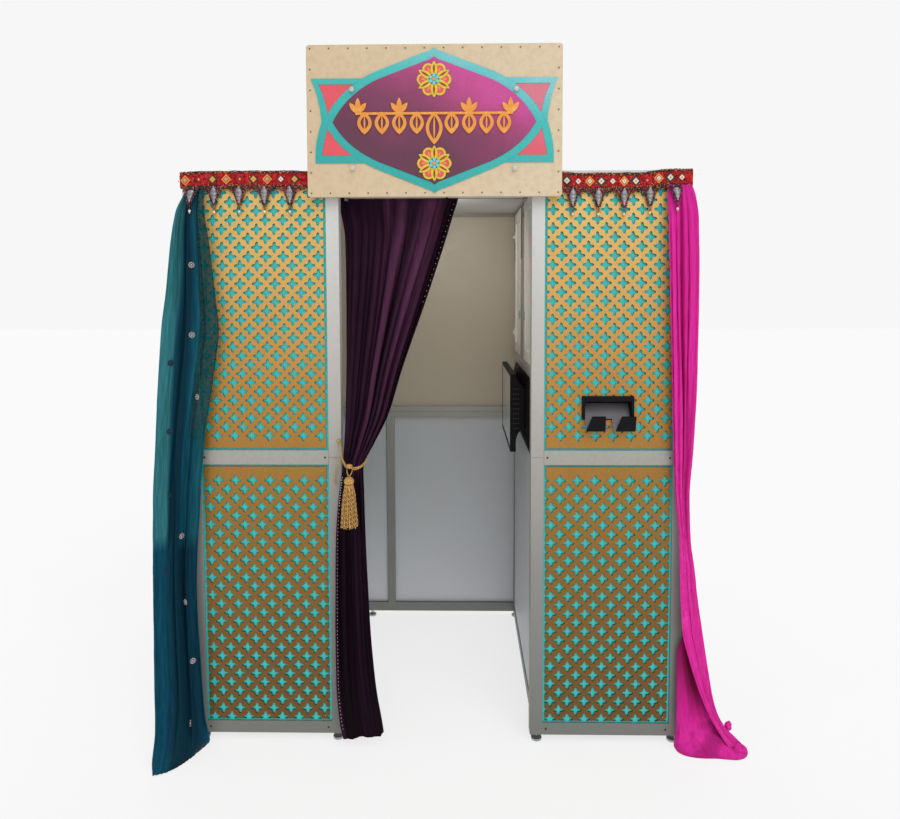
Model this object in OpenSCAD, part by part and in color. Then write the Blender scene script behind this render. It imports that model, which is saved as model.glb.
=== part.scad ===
// Walk-in photo booth: modular aluminium frames, fretwork front, curtained doorway, hanging sign.
// Built around the centre of the booth's footprint, then placed so that the origin is the
// bottom centre of the whole object with its drapes. +X right, +Y towards the back, +Z up.

/* [Booth] */
// Width across both front modules
booth_w = 1738; // [1720:1:1760]
// Depth from the front faces to the back faces
booth_d = 1000; // [980:1:1100]
// Width of one front module
module_w = 538; // [534:1:542]
// Height of the lower frames
lower_h = 1000; // [990:1:1010]
// Height of the upper frames
upper_h = 988; // [980:1:1000]
// Gap under the frames, taken up by the levelling feet
foot_h = 30; // [25:1:40]

/* [Frame profile] */
// Width of a stile seen from the front
stile = 45; // [42:1:48]
// Thickness of every frame
frame_t = 45; // [45:1:50]
// Height of a bottom rail
rail_bottom = 44; // [40:1:48]
// Height of each rail at the joint between lower and upper frames
rail_mid = 25; // [24:1:28]
// Height of a top rail
rail_top = 45; // [40:1:48]
// Thickness of the wall panels
panel_t = 4; // [3:0.5:5]

/* [Fretwork] */
// Distance between neighbouring crosses in a row
pitch = 60.6; // [58:0.1:62]
// Distance between rows on the lower boards
low_row_step = 31.85; // [31:0.05:32]
// Distance between rows on the upper boards
high_row_step = 31.2; // [30.5:0.05:32]
// Reach of a cross from its centre
cross_tip = 20; // [17:0.5:20.5]
// Half width of a cross arm
cross_arm = 6.5; // [5:0.5:7]
// Thickness of the fretwork board
fret_t = 6; // [4:0.5:6]
// Turquoise border left around the fretwork
fret_margin = 8; // [5:0.5:12]

/* [Sign] */
// Width of the sign board
sign_w = 854; // [840:1:860]
// Height of the sign board
sign_h = 502; // [490:1:510]
// Height of the sign's lower edge above the floor
sign_z = 1926; // [1920:1:1935]
// Thickness of the sign board
sign_t = 18; // [12:1:20]
// Radius of the board's corners
sign_r = 10; // [5:1:20]
// Width of the turquoise band around the medallion
band_w = 27; // [20:1:30]

/* [Doors and bench] */
// Gap around each door leaf
door_gap = 3; // [2:0.5:4]
// Height of the bench board's upper face
bench_z = 443; // [430:1:450]
// Depth of the bench board
bench_d = 327; // [300:1:330]

/* [Hidden] */
$fn = 48;

eps = 0.01;
half_w = booth_w / 2;
front_y = -booth_d / 2;
back_y = booth_d / 2;
open_half = half_w - module_w;
z_low = foot_h;
z_mid = foot_h + lower_h;
seam = 0.2;
z_top = z_mid + upper_h;
inner_d = booth_d - 2 * frame_t;
roof_t = 10;
roof_low = z_top - 28;
module_open = module_w - 2 * stile;

// Panel seats: the groove is a little thicker and deeper than the panel edge it holds
groove_deep = 10;
groove_play = 0.5;
panel_edge = 9;
backing_t = 4;
backing_z = frame_t - 1.5 - fret_t - backing_t;
wall_panel_z = 14;
partition_x = 345;
partition_panel_z = frame_t - 3 - panel_t;

// Heights inside the partition
surround_low = 1000;
surround_high = 1287;
door_rail_low = 1290;
door_rail_high = 1330;
glass_y0 = -58;
glass_y1 = 98;
slim_stile = 4;

// How far the drapes reach: leftmost, rightmost, and forward of the front faces
cloth_x0 = -972;
cloth_x1 = 1092;
cloth_front = 200;

// ---------- helpers ----------

module placed() {
    translate([-(cloth_x0 + cloth_x1) / 2, -(front_y - cloth_front + back_y) / 2, 0]) children();
}

module block(low, high) {
    translate(low) cube(high - low);
}

// Stands a flat outline up on a wall: angle 0 front, 180 back, -90 left, 90 right
module on_wall(angle, distance) {
    rotate([0, 0, angle])
        translate([0, frame_t - distance, 0])
            rotate([90, 0, 0])
                children();
}

module openings(list, grow) {
    for (o = list)
        translate([o[0] - grow, o[1] - grow])
            square([o[2] - o[0] + 2 * grow, o[3] - o[1] + 2 * grow]);
}

// One frame: corners [x0, y0, x1, y1], openings in the same form, groove around the first ones
module wall_frame(outer, list, groove_z, groove_t) {
    difference() {
        linear_extrude(frame_t) difference() {
            translate([outer[0], outer[1]]) square([outer[2] - outer[0], outer[3] - outer[1]]);
            openings(list, 0);
        }
        if (groove_t > 0)
            for (o = list)
                translate([0, 0, groove_z - groove_play])
                    linear_extrude(groove_t + 2 * groove_play) openings([o], groove_deep);
    }
}

module wall_panel(list, z, t) {
    for (o = list)
        translate([0, 0, z]) linear_extrude(t) openings([o], panel_edge);
}

// Openings of the walls, as [x0, y0, x1, y1] in each wall's own plane
function opening(x0, x1, z0, z1) = [x0, z0, x1, z1];
lower_z0 = z_low + rail_bottom;
lower_z1 = z_mid - rail_mid;
upper_z0 = z_mid + rail_mid;
upper_z1 = z_top - rail_top;
module_x0 = -half_w + stile;
module_x1 = -open_half - stile;
side_x = inner_d / 2 - stile;
mullion_x = -258;
mullion_w = 38;
left_low = [opening(module_x0, module_x1, lower_z0, lower_z1)];
left_high = [opening(module_x0, module_x1, upper_z0, upper_z1)];
right_low = [opening(-module_x1, -module_x0, lower_z0, lower_z1)];
right_high = [opening(-module_x1, -module_x0, upper_z0, upper_z1)];
side_low = [opening(-side_x, side_x, lower_z0, lower_z1)];
side_high = [opening(-side_x, side_x, upper_z0, upper_z1)];
// The back wall is seen from behind in its own plane, so its x runs the other way
back_x = half_w - stile;
back_low = [opening(-back_x, -mullion_x - mullion_w / 2, lower_z0, lower_z1),
    opening(-mullion_x + mullion_w / 2, back_x, lower_z0, lower_z1)];
back_high = [opening(-back_x, back_x, upper_z0, upper_z1)];
// The partition's plane x runs from the back to the front
partition_low = [opening(-side_x, side_x, lower_z0, lower_z1)];
partition_mid = [opening(-side_x, side_x, upper_z0, door_rail_low)];
glass_area = [opening(-glass_y1 + slim_stile, -glass_y0 - slim_stile, door_rail_high, upper_z1)];
door_front_area = [opening(-glass_y0 + slim_stile, side_x, door_rail_high, upper_z1)];
door_rear_area = [opening(-side_x, -glass_y1 - slim_stile, door_rail_high, upper_z1)];

// ---------- front frames ----------

module front_frame(x0, x1, z0, z1, list) {
    on_wall(0, -front_y) wall_frame([x0, z0, x1, z1], list, backing_z, backing_t);
}

module front_left_lower() {
    color("gainsboro") front_frame(-half_w, -open_half, z_low, z_mid - seam, left_low);
}

module front_left_upper() {
    color("gainsboro") front_frame(-half_w, -open_half, z_mid, z_top, left_high);
}

module front_right_lower() {
    color("gainsboro") front_frame(open_half, half_w, z_low, z_mid - seam, right_low);
}

module front_right_upper() {
    color("gainsboro") front_frame(open_half, half_w, z_mid, z_top, right_high);
}

// ---------- walls ----------

module side_frame(z0, z1, list, groove) {
    wall_frame([-inner_d / 2, z0, inner_d / 2, z1], list, wall_panel_z, groove);
}

module left_wall_frames() {
    color("gainsboro") on_wall(-90, half_w) {
        side_frame(z_low, z_mid - seam, side_low, panel_t);
        side_frame(z_mid, z_top, side_high, panel_t);
    }
}

module right_wall_frames() {
    color("gainsboro") on_wall(90, half_w) {
        side_frame(z_low, z_mid - seam, side_low, 0);
        side_frame(z_mid, z_top, side_high, panel_t);
    }
}

module back_wall_frames() {
    color("gainsboro") on_wall(180, back_y) {
        wall_frame([-half_w, z_low, half_w, z_mid - seam], back_low, wall_panel_z, panel_t);
        wall_frame([-half_w, z_mid, half_w, z_top], back_high, wall_panel_z, panel_t);
    }
}

module partition_frames() {
    list = concat(partition_mid, glass_area);
    color("gainsboro") on_wall(-90, -partition_x) {
        side_frame_at(z_low, z_mid - seam, partition_low, []);
        side_frame_at(z_mid, roof_low - seam, list, concat(door_front_area, door_rear_area));
    }
    color("silver") for (side = [-1, 1]) for (z = door_hinge_z)
        translate([light_hinge_x, side * light_hinge_y, z])
            rotate([0, 0, 180]) mirror([0, side > 0 ? 1 : 0, 0])
                hinge_fixed(light_knuckle, light_pin, light_hinge_h, light_leaf);
}

module side_frame_at(z0, z1, grooved, plain) {
    difference() {
        wall_frame([-inner_d / 2, z0, inner_d / 2, z1], grooved, partition_panel_z, panel_t);
        translate([0, 0, -1]) linear_extrude(frame_t + 2) openings(plain, 0);
    }
}

module top_beams() {
    beam_z = z_top - rail_top;
    color("gainsboro") {
        block([-open_half, front_y, beam_z], [open_half, front_y + frame_t, z_top]);
        for (x = [-560, -60, 620])
            block([x - 20, front_y + frame_t, roof_low - 30], [x + 20, back_y - frame_t, roof_low]);
    }
}

module roof_panel() {
    edge = 1;
    color("white") block([-half_w + frame_t + edge, front_y + frame_t + edge, roof_low],
        [half_w - frame_t - edge, back_y - frame_t - edge, roof_low + roof_t]);
}

fan_x = 620;
fan_z = 1620;
fan_hole_r = 62;
inlet_z = 300;
inlet_hole = [58, 34];

module wall_panels() {
    color("whitesmoke") {
        on_wall(-90, half_w) wall_panel(concat(side_low, side_high), wall_panel_z, panel_t);
        on_wall(90, half_w) wall_panel(side_high, wall_panel_z, panel_t);
        on_wall(180, back_y) difference() {
            wall_panel(concat(back_low, back_high), wall_panel_z, panel_t);
            translate([-fan_x, fan_z, 0]) cylinder(h = frame_t, r = fan_hole_r);
            translate([-fan_x - inlet_hole[0] / 2, inlet_z - inlet_hole[1] / 2, 0])
                cube([inlet_hole[0], inlet_hole[1], frame_t]);
        }
    }
}

module partition_panels() {
    color("whitesmoke") on_wall(-90, -partition_x)
        wall_panel(concat(partition_low, partition_mid), partition_panel_z, panel_t);
}

module camera_window() {
    color([0.1, 0.1, 0.12, 0.6]) on_wall(-90, -partition_x)
        wall_panel_edge(glass_area, partition_panel_z, panel_t, slim_stile - 1);
}

module wall_panel_edge(list, z, t, edge) {
    translate([0, 0, z]) linear_extrude(t) openings(list, edge);
}

// ---------- turquoise backings and fretwork ----------

chute_x0 = 507;
chute_x1 = 685;
chute_z0 = 1154;
chute_z1 = 1245;
slot_margin = 10;
print_slot_z = [1189, 1211];

module chute_hole(grow, depth) {
    translate([chute_x0 - grow, front_y - 20, chute_z0 - grow])
        cube([chute_x1 - chute_x0 + 2 * grow, depth, chute_z1 - chute_z0 + 2 * grow]);
}

module front_backings() {
    color("mediumturquoise") {
        on_wall(0, -front_y)
            wall_panel(concat(left_low, left_high, right_low), backing_z, backing_t);
        difference() {
            on_wall(0, -front_y) wall_panel(right_high, backing_z, backing_t);
            chute_hole(-slot_margin, frame_t + 20);
        }
    }
}

function cross_outline(x, y) = [
    for (quarter = [0:3])
        let (c = cos(90 * quarter), s = sin(90 * quarter))
            for (p = [[cross_tip, -cross_arm], [cross_tip, cross_arm], [cross_arm, cross_arm]])
                [x + p[0] * c - p[1] * s, y + p[0] * s + p[1] * c]
];

per_row = 7;

// A fretted board; the first row's centre sits at first_y, and rows run up from there.
// Every other row is moved sideways by half a pitch, starting with the first row or the second
module fret(w, h, first_y, rows, step, start) {
    linear_extrude(fret_t) difference() {
        square([w, h]);
        for (row = [0:rows - 1], k = [0:per_row]) {
            shift = (row + start) % 2 == 0 ? 0.25 : 0.75;
            polygon(cross_outline(w / 2 + (k - per_row / 2 - 0.5 + shift) * pitch,
                first_y + row * step));
        }
    }
}

fret_w = module_open - 2 * fret_margin;
fret_low_h = lower_z1 - lower_z0 - 2 * fret_margin;
fret_high_h = upper_z1 - upper_z0 - 2 * fret_margin;
low_rows = 28;
high_rows = 28;
low_first = fret_low_h - 49 - (low_rows - 1) * low_row_step;
high_first = 43;

module place_fret(x_inner, z, side) {
    on_wall(0, -front_y)
        translate([side < 0 ? -x_inner - fret_w : x_inner, z + fret_margin, backing_z + backing_t])
            children();
}

fret_x = open_half + stile + fret_margin;

module frets_lower() {
    color("goldenrod") for (side = [-1, 1])
        place_fret(fret_x, lower_z0, side)
            fret(fret_w, fret_low_h, low_first, low_rows, low_row_step, 1);
}

module frets_upper() {
    color("goldenrod") {
        place_fret(fret_x, upper_z0, -1)
            fret(fret_w, fret_high_h, high_first, high_rows, high_row_step, 0);
        difference() {
            place_fret(fret_x, upper_z0, 1)
                fret(fret_w, fret_high_h, high_first, high_rows, high_row_step, 0);
            chute_hole(1, frame_t + 20);
        }
    }
}

pin_inset = 14;
pin_r = 2.2;

module fret_pins() {
    face_y = front_y + frame_t - backing_z - backing_t - fret_t;
    color("gold") for (side = [-1, 1])
        for (x = [fret_x + pin_inset, fret_x + fret_w / 2, fret_x + fret_w - pin_inset])
            for (z = [lower_z0 + fret_margin + pin_inset, lower_z1 - fret_margin - pin_inset,
                    upper_z0 + fret_margin + pin_inset, upper_z1 - fret_margin - pin_inset])
                translate([side * x, face_y, z]) rotate([90, 0, 0]) cylinder(h = 1.2, r = pin_r);
}

cover_t = 2;
screw_r = 3.5;
screw_h = 1.2;

module mid_rail_covers() {
    color("gainsboro") for (side = [-1, 1]) {
        x0 = side < 0 ? module_x0 : -module_x1;
        block([x0 + 0.5, front_y - cover_t, z_mid - rail_mid],
            [x0 + module_open - 0.5, front_y, z_mid + rail_mid]);
    }
}

module screw_head(x, y, z) {
    translate([x, y, z]) rotate([90, 0, 0]) difference() {
        cylinder(h = screw_h, r = screw_r);
        translate([0, 0, 0.5]) cylinder(h = screw_h, r = 1.8, $fn = 6);
    }
}

module frame_screws() {
    inset = 12;
    color("dimgray") for (side = [-1, 1]) for (end = [0, 1]) {
        x = side * (open_half + stile + inset + end * (module_open - 2 * inset));
        screw_head(x, front_y - cover_t, z_mid);
        screw_head(x, front_y, z_low + rail_bottom / 2);
        screw_head(x, front_y, z_top - rail_top / 2);
    }
}

foot_inset = 26;
foot_r = 19;
foot_stem_r = 5;

module levelling_foot() {
    cylinder(h = 8, r = foot_r);
    translate([0, 0, 8 - eps]) cylinder(h = 5, r1 = foot_r - 4, r2 = foot_stem_r + 2);
    translate([0, 0, 12]) cylinder(h = z_low - 12, r = foot_stem_r);
    translate([0, 0, z_low - 6]) cylinder(h = 6, r = 9, $fn = 6);
}

module levelling_feet() {
    xs = [-half_w + foot_inset, -open_half - foot_inset, open_half + foot_inset, half_w - foot_inset];
    color("dimgray") for (x = xs) for (y = [front_y + foot_inset, back_y - foot_inset])
        translate([x, y, 0]) levelling_foot();
}

// ---------- hinges ----------

// Hinge axis along Z through the origin; leaves lie in a plane at -X, fixed leaf towards +Y
module hinge_fixed(r, pin, h, leaf) {
    clear = r + 0.6;
    for (end = [-1, 1])
        translate([0, 0, end * h / 3 - h / 6]) cylinder(h = h / 3, r = r);
    block([-r - 1, clear, -h / 2], [-r + 1.5, leaf, h / 2]);
    for (end = [-1, 1])
        block([-r - 1, 0, end * h / 3 - h / 6], [-r + 1.5, clear + eps, end * h / 3 + h / 6]);
    cylinder(h = h, r = pin, center = true);
}

module hinge_moving(r, pin, h, leaf) {
    clear = r + 0.6;
    part_h = h / 3 - 0.2;
    difference() {
        union() {
            cylinder(h = part_h, r = r, center = true);
            block([-r - 1, -leaf, -h / 2], [-r + 1.5, -clear, h / 2]);
            block([-r - 1, -clear - eps, -part_h / 2], [-r + 1.5, 0, part_h / 2]);
        }
        cylinder(h = h, r = pin + 0.05, center = true);
    }
}

door_hinge_z = [1420, 1870];
light_knuckle = 4;
light_pin = 2;
light_hinge_h = 42;
light_leaf = 16;
light_hinge_x = partition_x - light_knuckle - 1;
light_hinge_y = side_x - door_gap / 2;

service_hinge_z = [200, 540, 880];
service_knuckle = 5.5;
service_pin = 3;
service_hinge_h = 60;
service_leaf = 28;
service_hinge_x = half_w + service_knuckle + 1;
service_hinge_y = side_x - door_gap / 2;

module service_hinges() {
    color("silver") for (z = service_hinge_z)
        translate([service_hinge_x, service_hinge_y, z])
            hinge_fixed(service_knuckle, service_pin, service_hinge_h, service_leaf);
}

// ---------- service door on the right side ----------

service_t = 30;
lock_y = -side_x + door_gap + 22;
lock_z = 560;
lock_r = 8;

module service_door_frame() {
    leaf = [opening(-side_x + door_gap + 45, side_x - door_gap - 45,
        lower_z0 + door_gap + 45, lower_z1 - door_gap - 45)];
    color("gainsboro") {
        difference() {
            on_wall(90, half_w) translate([0, 0, frame_t - service_t]) difference() {
                linear_extrude(service_t) difference() {
                    openings(side_low, -door_gap);
                    openings(leaf, 0);
                }
                translate([0, 0, service_t - 9]) linear_extrude(3 + 2 * groove_play)
                    openings(leaf, groove_deep);
            }
            translate([half_w - 60, lock_y, lock_z]) rotate([0, 90, 0])
                cylinder(h = 80, r = lock_r + 0.05);
        }
    }
    color("silver") for (z = service_hinge_z)
        translate([service_hinge_x, service_hinge_y, z])
            hinge_moving(service_knuckle, service_pin, service_hinge_h, service_leaf);
}

module service_door_skin() {
    leaf = [opening(-side_x + door_gap + 45, side_x - door_gap - 45,
        lower_z0 + door_gap + 45, lower_z1 - door_gap - 45)];
    color("whitesmoke") on_wall(90, half_w)
        translate([0, 0, frame_t - 9 + groove_play]) linear_extrude(3) openings(leaf, panel_edge);
}

module door_lock() {
    inside_x = half_w - frame_t - 8;
    color("silver") translate([0, lock_y, lock_z]) {
        translate([inside_x, 0, 0]) rotate([0, 90, 0]) cylinder(h = half_w + 6 - inside_x, r = lock_r);
        translate([half_w + 0.2, 0, 0]) rotate([0, 90, 0]) cylinder(h = 4, r = 16);
        block([half_w + 4, -4, -15], [half_w + 16, 4, 15]);
        block([inside_x, -8, -46], [inside_x + 5, 8, 0]);
    }
}

// ---------- print chute ----------

module chute_bezel() {
    bar_top = 17;
    bar_side = 9;
    bar_foot = 12;
    depth = 42;
    seat = frame_t - backing_z - backing_t;
    color([0.08, 0.08, 0.09]) difference() {
        block([chute_x0, front_y - 10, chute_z0 + bar_foot], [chute_x1, front_y + depth, chute_z1]);
        block([chute_x0 + bar_side, front_y - 11, chute_z0 - 1],
            [chute_x1 - bar_side, front_y + depth + 1, chute_z1 - bar_top]);
        difference() {
            block([chute_x0 - 1, front_y + seat, chute_z0 - 1],
                [chute_x1 + 1, front_y + depth + 1, chute_z1 + 1]);
            block([chute_x0 + slot_margin + 1, front_y, chute_z0 + slot_margin + 1],
                [chute_x1 - slot_margin - 1, front_y + depth + 2, chute_z1 - slot_margin - 1]);
        }
    }
}

// A sloping plate that the prints slide down, with a notch in its lip, and a slanted tab
// on each side of the notch
module chute_tray() {
    slope_top = chute_z1 - 30;
    lip_y = front_y - 27.5;
    lip_z = chute_z1 - 117;
    plate_t = 3.5;
    play = 0.5;
    tab_t = 3;
    tab_top = 52;
    notch = [80, 103];
    x0 = chute_x0 + slot_margin + play;
    x1 = chute_x1 - slot_margin - play;
    color("gray") difference() {
        translate([x0, 0, 0]) rotate([90, 0, 90]) linear_extrude(x1 - x0)
            polygon([[front_y + 38, slope_top], [front_y + 38 - plate_t, slope_top],
                [lip_y, lip_z + plate_t], [lip_y, lip_z], [lip_y + 2.5, lip_z]]);
        block([chute_x0 + notch[0], lip_y - 1, lip_z - 1],
            [chute_x0 + notch[1], front_y, chute_z1 - 81]);
    }
    color([0.08, 0.08, 0.09]) for (tab = [[29, 77, 75, 10], [130, 181, 178, 111]])
        translate([chute_x0, lip_y + 0.5, lip_z]) rotate([90, 0, 0]) linear_extrude(tab_t)
            polygon([[tab[0], tab_top], [tab[1], tab_top], [tab[2], 1], [tab[3], 1]]);
}

// ---------- sign ----------

sign_back = front_y - 22;
sign_face = sign_back - sign_t;
sign_c = 2173;

module rounded_rect(w, h, r) {
    translate([r, 0]) square([w - 2 * r, h]);
    translate([0, r]) square([w, h - 2 * r]);
    for (x = [r, w - r], y = [r, h - r]) translate([x, y]) circle(r = r);
}

// Lays a flat outline on the sign's face; x and y are counted from the medallion's centre
module on_sign(lift, t) {
    translate([0, sign_face - lift, sign_c]) rotate([90, 0, 0]) linear_extrude(t) children();
}

module sign_board() {
    color("wheat") translate([-sign_w / 2, sign_back, sign_z]) rotate([90, 0, 0])
        linear_extrude(sign_t) rounded_rect(sign_w, sign_h, sign_r);
}

module sign_battens() {
    color("burlywood") for (x = [-300, 300])
        block([x - 20, sign_back, sign_z + 30], [x + 20, front_y, sign_z + sign_h - 40]);
}

// Quarter of a pointed oval: an arc from the side point, a straight run, a small upturned tip
ogee_r = 301.6;
ogee_c = [-69.8, -134.6];
ogee_tip = 213.5;
function arc(c, r, a0, a1, n) = [
    for (i = [0:n])
        let (a = a0 + (a1 - a0) * i / n)
            c + r * [cos(a), sin(a)]
];
function ogee_quarter(grow) =
    let (r = ogee_r + grow, a0 = 180 - asin(-ogee_c[1] / r))
        concat(arc(ogee_c, r, a0, 113, 10), [[-34, 198 + grow * 1.08], [-14, 204 + grow * 1.06],
            [0, ogee_tip + grow * 1.06]]);
function flip_x(list) = [for (i = [len(list) - 1:-1:0]) [-list[i][0], list[i][1]]];
function flip_y(list) = [for (i = [len(list) - 1:-1:0]) [list[i][0], -list[i][1]]];
// The lower half is a little shallower than the upper one, most of all towards its ends
function squeeze(list, tip, drop) = [
    for (p = list)
        [p[0], p[1] * (tip - drop * min(abs(p[0]), ogee_shoulder))]
];
ogee_shoulder = 230;
function ogee(grow) =
    let (q = ogee_quarter(grow), half = concat(q, flip_x(q)))
        concat(squeeze(half, 1, 0.00012), squeeze(flip_y(half), 0.972, 0.0003));

module sign_medallion() {
    color([0.55, 0.2, 0.4]) on_sign(0, 5) polygon(ogee(-0.3));
}

// Wings left and right of the medallion: outer edges bow in from the corners to a waist
wing_top = [411, 143];
wing_low = [398, -135];
waist_x = 377;
function bow(a, b, sag, n) = [
    for (i = [0:n])
        let (t = i / n)
            a + (b - a) * t + [sag * 4 * t * (1 - t), 0]
];

module wing_outline() {
    polygon(concat([[150, 100], [150, -100], [237, wing_low[1]]], bow(wing_low, [waist_x, 0], 7, 6),
        bow([waist_x, 0], wing_top, -7, 6), [[230, wing_top[1]]]));
}

module coral_upper(gap) {
    polygon(concat([[262 + gap, 124 - gap]], [[385 - gap, 124 - gap]],
        bow([384 - gap, 118], [356, 28 + gap], -4, 5), bow([354, 29 + gap], [262 + gap, 122], 13, 5)));
}

module coral_lower(gap) {
    polygon(concat([[262 + gap, -111 + gap]], [[376 - gap, -111 + gap]],
        bow([376 - gap, -105], [358, -22 - gap], 1, 5), bow([356, -23 - gap], [262 + gap, -109], 12, 5)));
}

module sign_band() {
    color("mediumturquoise") {
        on_sign(0, 3) difference() {
            polygon(ogee(band_w));
            polygon(ogee(0));
        }
        for (side = [0, 1]) mirror([side, 0, 0]) on_sign(0, 3) difference() {
            wing_outline();
            polygon(ogee(band_w + 0.2));
            coral_upper(0);
            coral_lower(0);
        }
    }
}

module sign_coral() {
    color("tomato") for (side = [0, 1]) mirror([side, 0, 0]) on_sign(0, 2) difference() {
        union() {
            coral_upper(0.4);
            coral_lower(0.4);
        }
        polygon(ogee(band_w + 0.4));
    }
}

// A garland: pointed leaves with a vein hang from a bar, and fans of petals stand on it
bar_y = 26;
bar_half = 262;
leaf_gap = 58;
leaf_count = 9;
finial_x = leaf_gap * 2;

// Outline of a pointed leaf that hangs down from the origin
function leaf(w, h, n) = concat(
    [for (i = [0:n]) let (t = i / n) [w / 2 * pow(sin(180 * t), 0.85), -h * t]],
    [for (i = [n - 1:-1:1]) let (t = i / n) [-w / 2 * pow(sin(180 * t), 0.85), -h * t]]);

module hanging_leaf(w, h) {
    difference() {
        polygon(leaf(w, h, 14));
        translate([0, -14]) polygon(leaf(w - 22, h - 30, 12));
    }
    translate([0, -8]) polygon(leaf(6, h - 16, 8));
}

module petal_fan(size) {
    for (k = [-1:1]) rotate([0, 0, 38 * k])
        rotate([0, 0, 180]) polygon(leaf(size * 0.34, size * (k == 0 ? 1 : 0.86), 10));
}

module sign_ornament() {
    color("darkorange") on_sign(5, 5) {
        translate([-bar_half, bar_y - 4]) square([2 * bar_half, 8]);
        for (k = [-floor(leaf_count / 2):floor(leaf_count / 2)])
            translate([k * leaf_gap, bar_y + 6]) hanging_leaf(k == 0 ? 56 : 48, k == 0 ? 108 : 74);
        for (side = [-1, 1]) {
            translate([side * finial_x, bar_y]) petal_fan(52);
            translate([side * (bar_half - 8), bar_y]) petal_fan(52);
        }
    }
}

// Rosette: six pointed petals over six round lobes
rosette_r = 60;
function rosette(r, n) = [
    for (i = [0:n - 1])
        let (a = 360 * i / n, star = pow(abs(cos(3 * a)), 6), lobe = pow(abs(sin(3 * a)), 0.6))
            r * (0.78 + 0.22 * max(star, 0.92 * lobe)) * [sin(a), cos(a)]
];
rosette_y = [136, -137];

module sign_rosettes() {
    color("gold") for (y = rosette_y) {
        on_sign(5, 4) translate([0, y]) polygon(rosette(rosette_r, 72));
        on_sign(9, 3) translate([0, y]) circle(r = 17);
    }
}

cap_places = [[-274, 106], [273, 104], [-273, -152], [268, -155]];

module sign_caps() {
    color("white") for (p = cap_places)
        translate([p[0], sign_face - 5, sign_c + p[1]]) rotate([90, 0, 0]) {
            cylinder(h = 5, r = 8);
            translate([0, 0, 5]) intersection() {
                translate([0, 0, -8]) sphere(r = 11.3);
                cylinder(h = 5, r = 8);
            }
        }
}

module sign_pins() {
    inset = 13;
    top_count = 14;
    side_count = 8;
    step_x = (sign_w - 2 * inset) / (top_count - 1);
    step_z = (sign_h - 2 * inset) / (side_count - 1);
    color("gold") {
        for (k = [0:top_count - 1], z = [inset, sign_h - inset])
            sign_pin(-sign_w / 2 + inset + k * step_x, sign_z + z);
        for (k = [1:side_count - 2], x = [inset, sign_w - inset])
            sign_pin(-sign_w / 2 + x, sign_z + inset + k * step_z);
    }
}

module sign_pin(x, z) {
    translate([x, sign_face, z]) rotate([90, 0, 0]) cylinder(h = 1.5, r = 2.6, $fn = 24);
}

// ---------- soft goods ----------

// A hanging cloth as a stack of sections [z, x0, x1, y0, y1]
module cloth(sections) {
    for (i = [0:len(sections) - 2]) hull() {
        cloth_slice(sections[i]);
        cloth_slice(sections[i + 1]);
    }
}

module cloth_slice(s) {
    translate([s[1], s[3], s[0]]) cube([s[2] - s[1], s[4] - s[3], 0.5]);
}

rod_y = front_y + 78;
rod_z = 1946;
rod_r = 12;

module curtain_rod() {
    color("silver") {
        translate([-318, rod_y, rod_z]) rotate([0, 90, 0]) cylinder(h = 636, r = rod_r);
        for (side = [-1, 1]) {
            block([side * 312 - 6, front_y + frame_t, rod_z - 20],
                [side * 312 + 6, rod_y + 20, rod_z + 20]);
            block([side * 312 - 6, front_y + frame_t, rod_z],
                [side * 312 + 6, front_y + frame_t + 6, roof_low - 2]);
        }
    }
}

curtain_sections = [
    [1928, -304, 78, front_y + 52, front_y + 104],
    [1760, -310, 24, front_y + 30, front_y + 90],
    [1545, -314, -48, front_y + 5, front_y + 70],
    [1340, -318, -118, front_y - 20, front_y + 48],
    [1180, -320, -168, front_y - 40, front_y + 20],
    [1085, -322, -212, front_y - 54, front_y - 5],
    [1012, -322, -248, front_y - 58, front_y - 10],
    [900, -338, -246, front_y - 62, front_y - 5],
    [640, -352, -240, front_y - 66, front_y - 4],
    [420, -352, -228, front_y - 70, front_y - 4],
    [240, -350, -216, front_y - 74, front_y - 4],
    [60, -340, -180, front_y - 80, front_y - 4],
    [1, -332, -186, front_y - 84, front_y - 4]
];

module curtain() {
    color([0.25, 0.12, 0.22]) cloth(curtain_sections);
}

tie_z = 1004;
tie_y = front_y - 66;
cord_r = 5;
cord_x0 = -334;
cord_x1 = -238;

module cord(low, high) {
    d = high - low;
    long = max(d);
    translate(low) rotate(d[0] == long ? [0, 90, 0] : [-90, 0, 0]) cylinder(h = long, r = cord_r);
}

// Cord from a button on the post, around the gathered curtain, with a knot in front
module tieback() {
    color("goldenrod") {
        cord([cord_x0, tie_y - cord_r, tie_z], [cord_x0, front_y - 7, tie_z]);
        cord([cord_x0 - cord_r, tie_y, tie_z], [cord_x1 + cord_r, tie_y, tie_z]);
        cord([cord_x1, tie_y - cord_r, tie_z], [cord_x1, front_y - 4, tie_z]);
        translate([tassel_x, tie_y - 9, tie_z]) sphere(r = 13);
        translate([cord_x0, front_y, tie_z]) rotate([90, 0, 0]) cylinder(h = 8, r = 8);
    }
}

tassel_x = -291;
tassel_y = front_y - 98;
tassel_top = 992;

module tassel() {
    color("goldenrod") translate([tassel_x, tassel_y, 0]) {
        translate([0, 0, 975]) cylinder(h = tassel_top - 975, r = 4);
        translate([0, -6, tassel_top]) rotate([-90, 0, 0]) cylinder(h = 12, r = 4);
        translate([0, 0, 963]) sphere(r = 16);
        translate([0, 0, 946]) cylinder(h = 8, r = 14.5);
        translate([0, 0, 815]) cylinder(h = 132, r1 = 30, r2 = 14);
    }
}

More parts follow.
